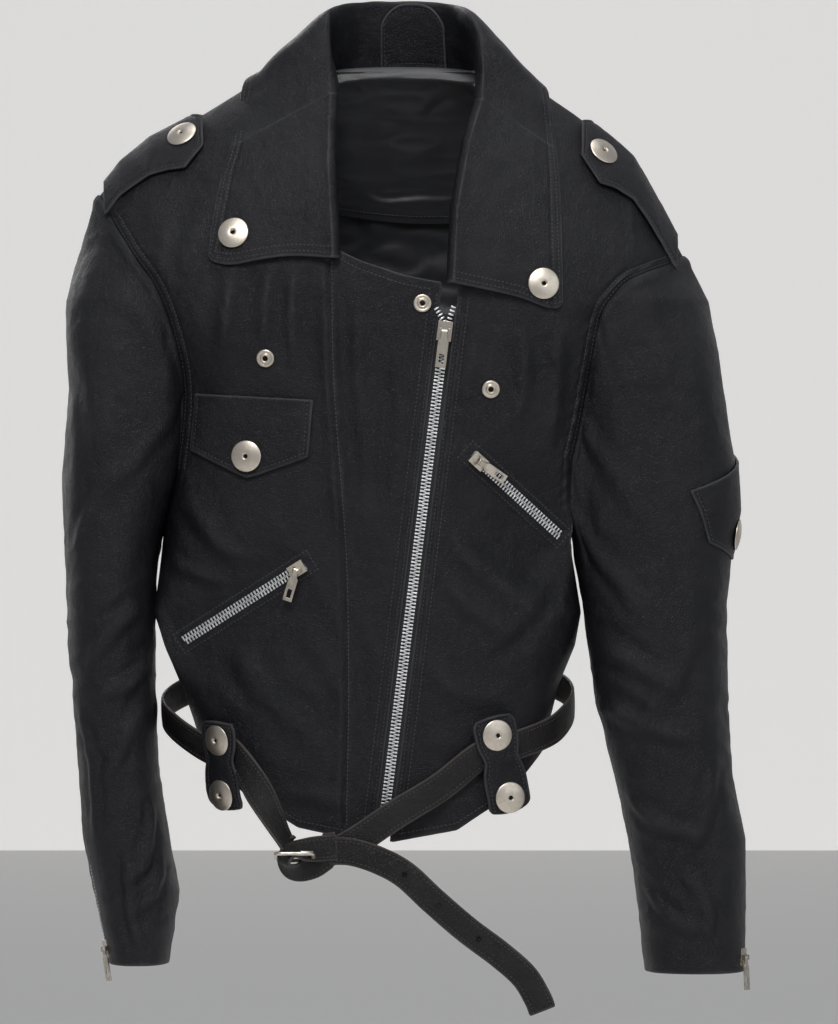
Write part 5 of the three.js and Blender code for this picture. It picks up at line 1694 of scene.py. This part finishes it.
# Lining.
def buildLining():
    rightArm = smoothPath(rightSleeve["armhole"], 60)
    leftArm = smoothPath(leftSleeve["armhole"], 60)
    left = np.vstack([rightArm, sideSeam(-1, -406)])
    right = np.vstack([leftArm, sideSeam(1, -404)])
    s = np.linspace(0, 1, 150)
    t = np.linspace(0, 1, 170)**1.1
    depth = 6.2
    l, r = polyPath(left, t) + [depth, -1], polyPath(right, t) + [-depth, -1]
    l[:, 1] = np.maximum(l[:, 1], -592)
    r[:, 1] = np.maximum(r[:, 1], -592)
    foot = hemPath(l[-1, 0], r[-1, 0]) + [0, 14]
    top = topPath(l[0, 0], r[0, 0], 90) - [0, 7]
    grid = blendEdges(l, r, polyPath(top, s), polyPath(foot, s), s, t)
    x, z = grid[..., 0], grid[..., 1]
    y = plainDepth(x, z, 1, depth)
    points = np.stack([x, y, z], -1)
    rumple = noiseAt(points, (34, 60, 26), 5.5) * 2.2 + creases(points, (40, 60, 20), 1.9) * 1.4
    points[..., 1] = np.maximum(points[..., 1] - np.abs(rumple), 1.5)
    piece = {"name": "backLining", "material": "lining", "replaces": ["lining"], "ride": "jacket"}
    obj = sheetMesh(piece["name"], points, 0.9, (0, -1, 0))
    finishPiece(obj, piece)
    for side, arm, neck in (("right", rightArm,
                             [(-75, -34), (-66, -66), (-65, -184), (-40, -198), (-4, -210), (22, -216)]),
                            ("left", leftArm, [(70, -36), (66, -64), (62, -110), (54, -206)])):
        sign = -1 if side == "right" else 1
        outer = np.vstack([arm, sideSeam(sign, -406)]) + [-sign * depth, -1]
        outer[:, 1] = np.maximum(outer[:, 1], -592)
        slot = zipEdge(sign, -668, -218, 40) + [sign * 3, 0]
        inner = np.vstack([neck, slot])
        inner[-1, 1] = hemHeight(inner[-1, 0]) + 14
        grid = frontGrid(outer, inner, topPath(outer[0, 0], neck[0][0]) - [0, 6.5],
                     hemPath(outer[-1, 0], inner[-1, 0]) + [0, 14], 80, 150)
        x, z = grid[..., 0], grid[..., 1]
        points = np.stack([x, frontPlain(x, z, depth), z], -1)
        rumple = noiseAt(points, (34, 60, 26), 6.5) * 2.0
        points[..., 1] = np.minimum(points[..., 1]
                                    + np.abs(rumple) * ease((np.arange(80)[::-1] / 10))[:, None], -1.5)
        piece = {"name": side + "FrontLining", "material": "lining", "ride": "jacket"}
        obj = sheetMesh(piece["name"], points, 0.9, (0, 1, 0))
        finishPiece(obj, piece)
    for side, sleeve in (("right", rightSleeve), ("left", leftSleeve)):
        grid, base, normal = sleeveGrid(sleeve, 90, 150)
        inner = base[:, 4:-3] - normal[:, 4:-3] * 6.5
        piece = {"name": side + "SleeveLining", "material": "lining", "replaces": ["sleeve_lining_" + side],
                 "blend": ("jacket", side + "_sleeve", sleeve)}
        obj = sheetMesh(piece["name"], inner, 0.9, (sleeve["sign"], 0, 0), cyclic=True)
        finishPiece(obj, piece)
    for side, near, far in (("right", -168, -232), ("left", 132, 198)):
        s, t = np.meshgrid(np.linspace(0, 1, 30), np.linspace(0, 1, 40), indexing="ij")
        points = shoulderPoint(mix(near, far, s), mix(-36, 36, t))
        points[..., 2] -= 9.5
        taper = np.sin(math.pi * np.clip(t, 0.02, 0.98))**0.5
        piece = {"name": side + "Pad", "material": "lining", "replaces": ["shoulder_pad_" + side],
                 "ride": "jacket"}
        obj = sheetMesh(piece["name"], points - np.array([0, 0, 1]) * (1 - taper)[..., None] * 3, 6,
                        (0, 0, 1))
        finishPiece(obj, piece)


# The cloth that falls from the collar's foot over the top of the lining.
def buildNeckFacing():
    s, t = np.meshgrid(np.linspace(0, 1, 110), np.linspace(0, 1, 90), indexing="ij")
    foot = polyPath(standFoot, np.linspace(0.04, 0.96, 110))[:, None]
    shelf, down = np.clip(t / 0.14, 0, 1), np.clip((t - 0.3) / 0.7, 0, 1)
    bend = np.clip((t - 0.14) / 0.16, 0, 1) * math.pi / 2
    x = mix(foot[..., 0], mix(-76, 72, s), ease(t * 2))
    z = mix(foot[..., 2] + 4 - 12 * (1 - np.cos(bend)), -144 - 9 * s - 6 * np.sin(math.pi * s), down)
    wall = np.maximum(plainDepth(x, z, 1, 6.2) - 5.5, 0.2)
    y = mix(foot[..., 1], 12, shelf) - 12 * np.sin(bend)
    points = np.stack([x, np.where(bend < math.pi / 2, y, wall), z], -1)
    folds = creases(points * [0.5, 0.4, 1], (26, 40, 15), 7.1) * 1.6 + noiseAt(points, (30, 40, 16),
                                                                               3.1) * 1.5
    points[..., 1] -= np.abs(folds) * ease(t * 3) * ease((1 - t) * 9)
    piece = {"name": "neckFacing", "material": "lining", "ride": "jacket"}
    obj = sheetMesh(piece["name"], points, 0.9, (0, -1, 0))
    finishPiece(obj, piece)
    row = points[4:-4, -4] - [0, 0.7, 0]
    addStitches(piece, row, np.repeat([[0, -1.0, 0]], len(row), 0))


def buildHangLoop():
    s, t = np.meshgrid(np.linspace(0, 1, 60), np.linspace(0, 1, 40), indexing="ij")
    share = mix(0.43, 0.66, s)
    p = polyPath(roll, share.ravel() * 0.62 + 0.19).reshape(60, 40, 3)
    q = polyPath(standFoot, share.ravel() * 0.9 + 0.05).reshape(60, 40, 3)
    arch = 1 - 0.28 * np.abs(2 * s - 1)**3
    points = mix(q, p, (mix(0.12, 0.86, t) * arch)[..., None])
    piece = {"name": "hangPatch", "material": "leather", "replaces": ["hang_loop"], "ride": "jacket"}
    trimSheet(piece, points, (0, -1, 0), 2.6, (), (2.6,), 0.5)


# Stitches on the panels.
def seamOnFront(piece, path, gap=1.5, lift=0.1):
    length = np.linalg.norm(np.diff(path, axis=0), axis=1).sum()
    pts = polyPath(np.asarray(path, float), np.linspace(0, 1, max(8, int(length / gap))))
    p = frontPoint(pts[:, 0], pts[:, 1], lift)
    n = frontNormal(pts[:, 0], pts[:, 1])
    addStitches(piece, p, n)


def offsetPath(path, by):
    path = np.asarray(path, float)
    d = unit(np.gradient(path, axis=0))
    return path + np.stack([-d[:, 1], d[:, 0]], -1) * by


def panelStitches():
    body = {"name": "jacket", "ride": "jacket"}
    main = np.array([tracks["main"]["from"], tracks["main"]["to"]], float)
    along = main[0] + (main[1] - main[0]) * np.linspace(-0.05, 1.04, 80)[:, None]
    for by in (-16.5, -10.2, 10.2, 16.5):
        seamOnFront(body, offsetPath(along, by))
    for key in ("side", "chest"):
        a, b = np.array(tracks[key]["from"], float), np.array(tracks[key]["to"], float)
        d = unit(b - a)
        n = np.array([-d[1], d[0]])
        n *= 9.2  # from the zip to its frame of stitches
        ring = [a - d * 7 + n, b + d * 5 + n, b + d * 5 - n, a - d * 7 - n, a - d * 7 + n]
        for p, q in zip(ring, ring[1:]):
            seamOnFront(body, np.array([p, q]))
    for sleeve, sign in ((rightSleeve, 1), (leftSleeve, -1)):
        hole = smoothPath(sleeve["armhole"][1:-1], 70)
        for by in (3.4, 8.4):
            seamOnFront(body, offsetPath(hole, by * sign))
    seamOnFront(body, offsetPath(smoothPath(frontSeams[0], 80), 2.6))
    for hem in (hemPath(-160, -36), hemPath(-4, 108)):
        seamOnFront(body, hem + [0, 5])
    fly = smoothPath([(-60, -190), (-38, -201), (-4, -213), (20, -218)], 40)
    seamOnFront(body, fly)
    shape = stitchShape()
    for name, (piece, paths) in list(stitches.items()):
        obj = repeatAlong(name + "Stitches", paths, shape, 3.5, materials["thread"])
        spec = {k: v for k, v in piece.items() if k != "replaces"}
        spec.update(name=name + "Stitches", material="thread")
        finishPiece(obj, spec)
    bpy.data.objects.remove(shape)


# Studio.
studio = {
    "half": 12, "floor": -1.35, "wallTop": 9, "pale": (0.74, 0.73, 0.71, 1), "glow": 0.42, "daylight": 0.37,
    "reach": 5.2,  # from the camera to the plane of the zip, in metres
    "seen": 0.86,  # width of the view at that plane
    "lookAt": (0, 0, -0.38),
}


def studioPlane(name, corners):
    mesh = bpy.data.meshes.new(name)
    mesh.from_pydata(corners, [], [(0, 1, 2, 3)])
    return bpy.data.objects.new(name, mesh)


def buildStudio():
    half, low, top = studio["half"], studio["floor"], studio["wallTop"]
    floorObject = studioPlane("floor", [(-half, -half, low), (half, -half, low), (half, half, low),
                                        (-half, half, low)])
    wallObject = studioPlane("backdrop",
                             [(-half, half, low), (half, half, low), (half, half, top), (-half, half, top)])
    pale, _, _, shader = nodeMaterial("studioPale")
    shader.inputs["Base Color"].default_value = studio["pale"]
    shader.inputs["Roughness"].default_value = 0.9
    glow, _, _, shader = nodeMaterial("studioGlow")
    shader.inputs["Base Color"].default_value = studio["pale"]
    shader.inputs["Emission Color"].default_value = (1, 0.985, 0.96, 1)
    shader.inputs["Emission Strength"].default_value = studio["glow"]
    for obj, material in ((floorObject, pale), (wallObject, glow)):
        obj.data.materials.append(material)
        bpy.context.scene.collection.objects.link(obj)
    lights = {
        "key": {"at": (-0.3, -2.3, 1.9), "size": 1.2, "power": 80, "color": (1, 0.985, 0.96)},
        "fill": {"at": (1.9, -2.0, 0.3), "size": 2.2, "power": 15, "color": (0.94, 0.97, 1)},
        "back": {"at": (-0.9, 2.6, 0.8), "size": 2.0, "power": 34, "color": (1, 1, 1)},
        "top": {"at": (0.2, 0.1, 2.2), "size": 1.6, "power": 20, "color": (1, 1, 1)},
    }
    for name, spec in lights.items():
        light = bpy.data.lights.new(name, "AREA")
        light.energy = spec["power"]
        light.size = spec["size"]
        light.color = spec["color"]
        obj = bpy.data.objects.new(name, light)
        obj.location = spec["at"]
        obj.rotation_euler = (Vector(studio["lookAt"]) - obj.location).to_track_quat("-Z", "Y").to_euler()
        bpy.context.scene.collection.objects.link(obj)
    world = bpy.data.worlds.new("soft")
    world.use_nodes = True
    world.node_tree.nodes["Background"].inputs["Color"].default_value = (0.9, 0.93, 1, 1)
    world.node_tree.nodes["Background"].inputs["Strength"].default_value = studio["daylight"]
    bpy.context.scene.world = world
    camera = bpy.data.cameras.new("camera")
    camera.sensor_width = 36
    camera.lens = camera.sensor_width * studio["reach"] / studio["seen"]
    camera.clip_end = 50
    cameraObject = bpy.data.objects.new("camera", camera)
    cameraObject.location = (0.0118, -0.09 - studio["reach"], -0.405)
    cameraObject.rotation_euler = (math.pi / 2, 0, 0)
    bpy.context.scene.collection.objects.link(cameraObject)
    bpy.context.scene.camera = cameraObject
    bpy.context.scene.view_settings.view_transform = "Standard"


# Joining pieces to the frame.
def acrossArmhole(sleeve):
    # a point on the armhole seam, and the way outward across it
    a = np.array(sleeve["armhole"][0], float)
    b = np.array(sleeve["armhole"][-1], float)
    d = unit(b - a)
    out = np.array([-d[1], d[0]])
    return a, out if out[0] * sleeve["sign"] > 0 else -out


def joinPieces():
    for obj, piece in made:
        if piece.get("replaces"):
            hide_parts(*piece["replaces"])
        if "blend" in piece:
            a, b, sleeve = piece["blend"]
            start, out = acrossArmhole(sleeve)
            p = start + out * 2
            q = start + out * 78
            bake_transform(obj, a, b, start=(p[0] / 1000, 0, p[1] / 1000), end=(q[0] / 1000, 0, q[1] / 1000))
        elif "lapel" in piece:
            body, lapel = piece["lapel"]
            top = lapel["inner"][0][1] - 20
            cap = lapel["cap"][1] + 18
            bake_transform(obj, "jacket", body, start=(0, 0, top / 1000), end=(0, 0, cap / 1000))
        elif "between" in piece:
            a, b, start, end = piece["between"]
            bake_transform(obj, a, b, start=tuple(start / 1000), end=tuple(end / 1000))
        else:
            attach(obj, piece["ride"])


def dressFrame():
    slotMaterials = {"leather": "leather", "lining": "lining", "pad": "pad", "zip_tape": "tape",
                    "zip_teeth": "aluminium", "nickel": "nickel"}
    for part in frame["record"]["subparts"]:
        obj = frame["nodes"][part["node"]]
        obj.data.materials.clear()
        obj.data.materials.append(materials[slotMaterials[part["material_slot"]]])


dressFrame()
print("frame dressed")
buildFronts()
print("fronts built")
buildBack()
print("back built")
buildSleeves()
print("sleeves built")
buildLapels()
buildCollar()
print("collar and lapels built")
buildFlaps()
buildTabs()
buildBelt()
print("flaps, tabs and belt built")
buildRound()
buildZips()
buildSmallMetal()
print("metal built")
buildLining()
buildNeckFacing()
buildHangLoop()
panelStitches()
print("lining and stitches built")
buildStudio()
joinPieces()
print("pieces joined")
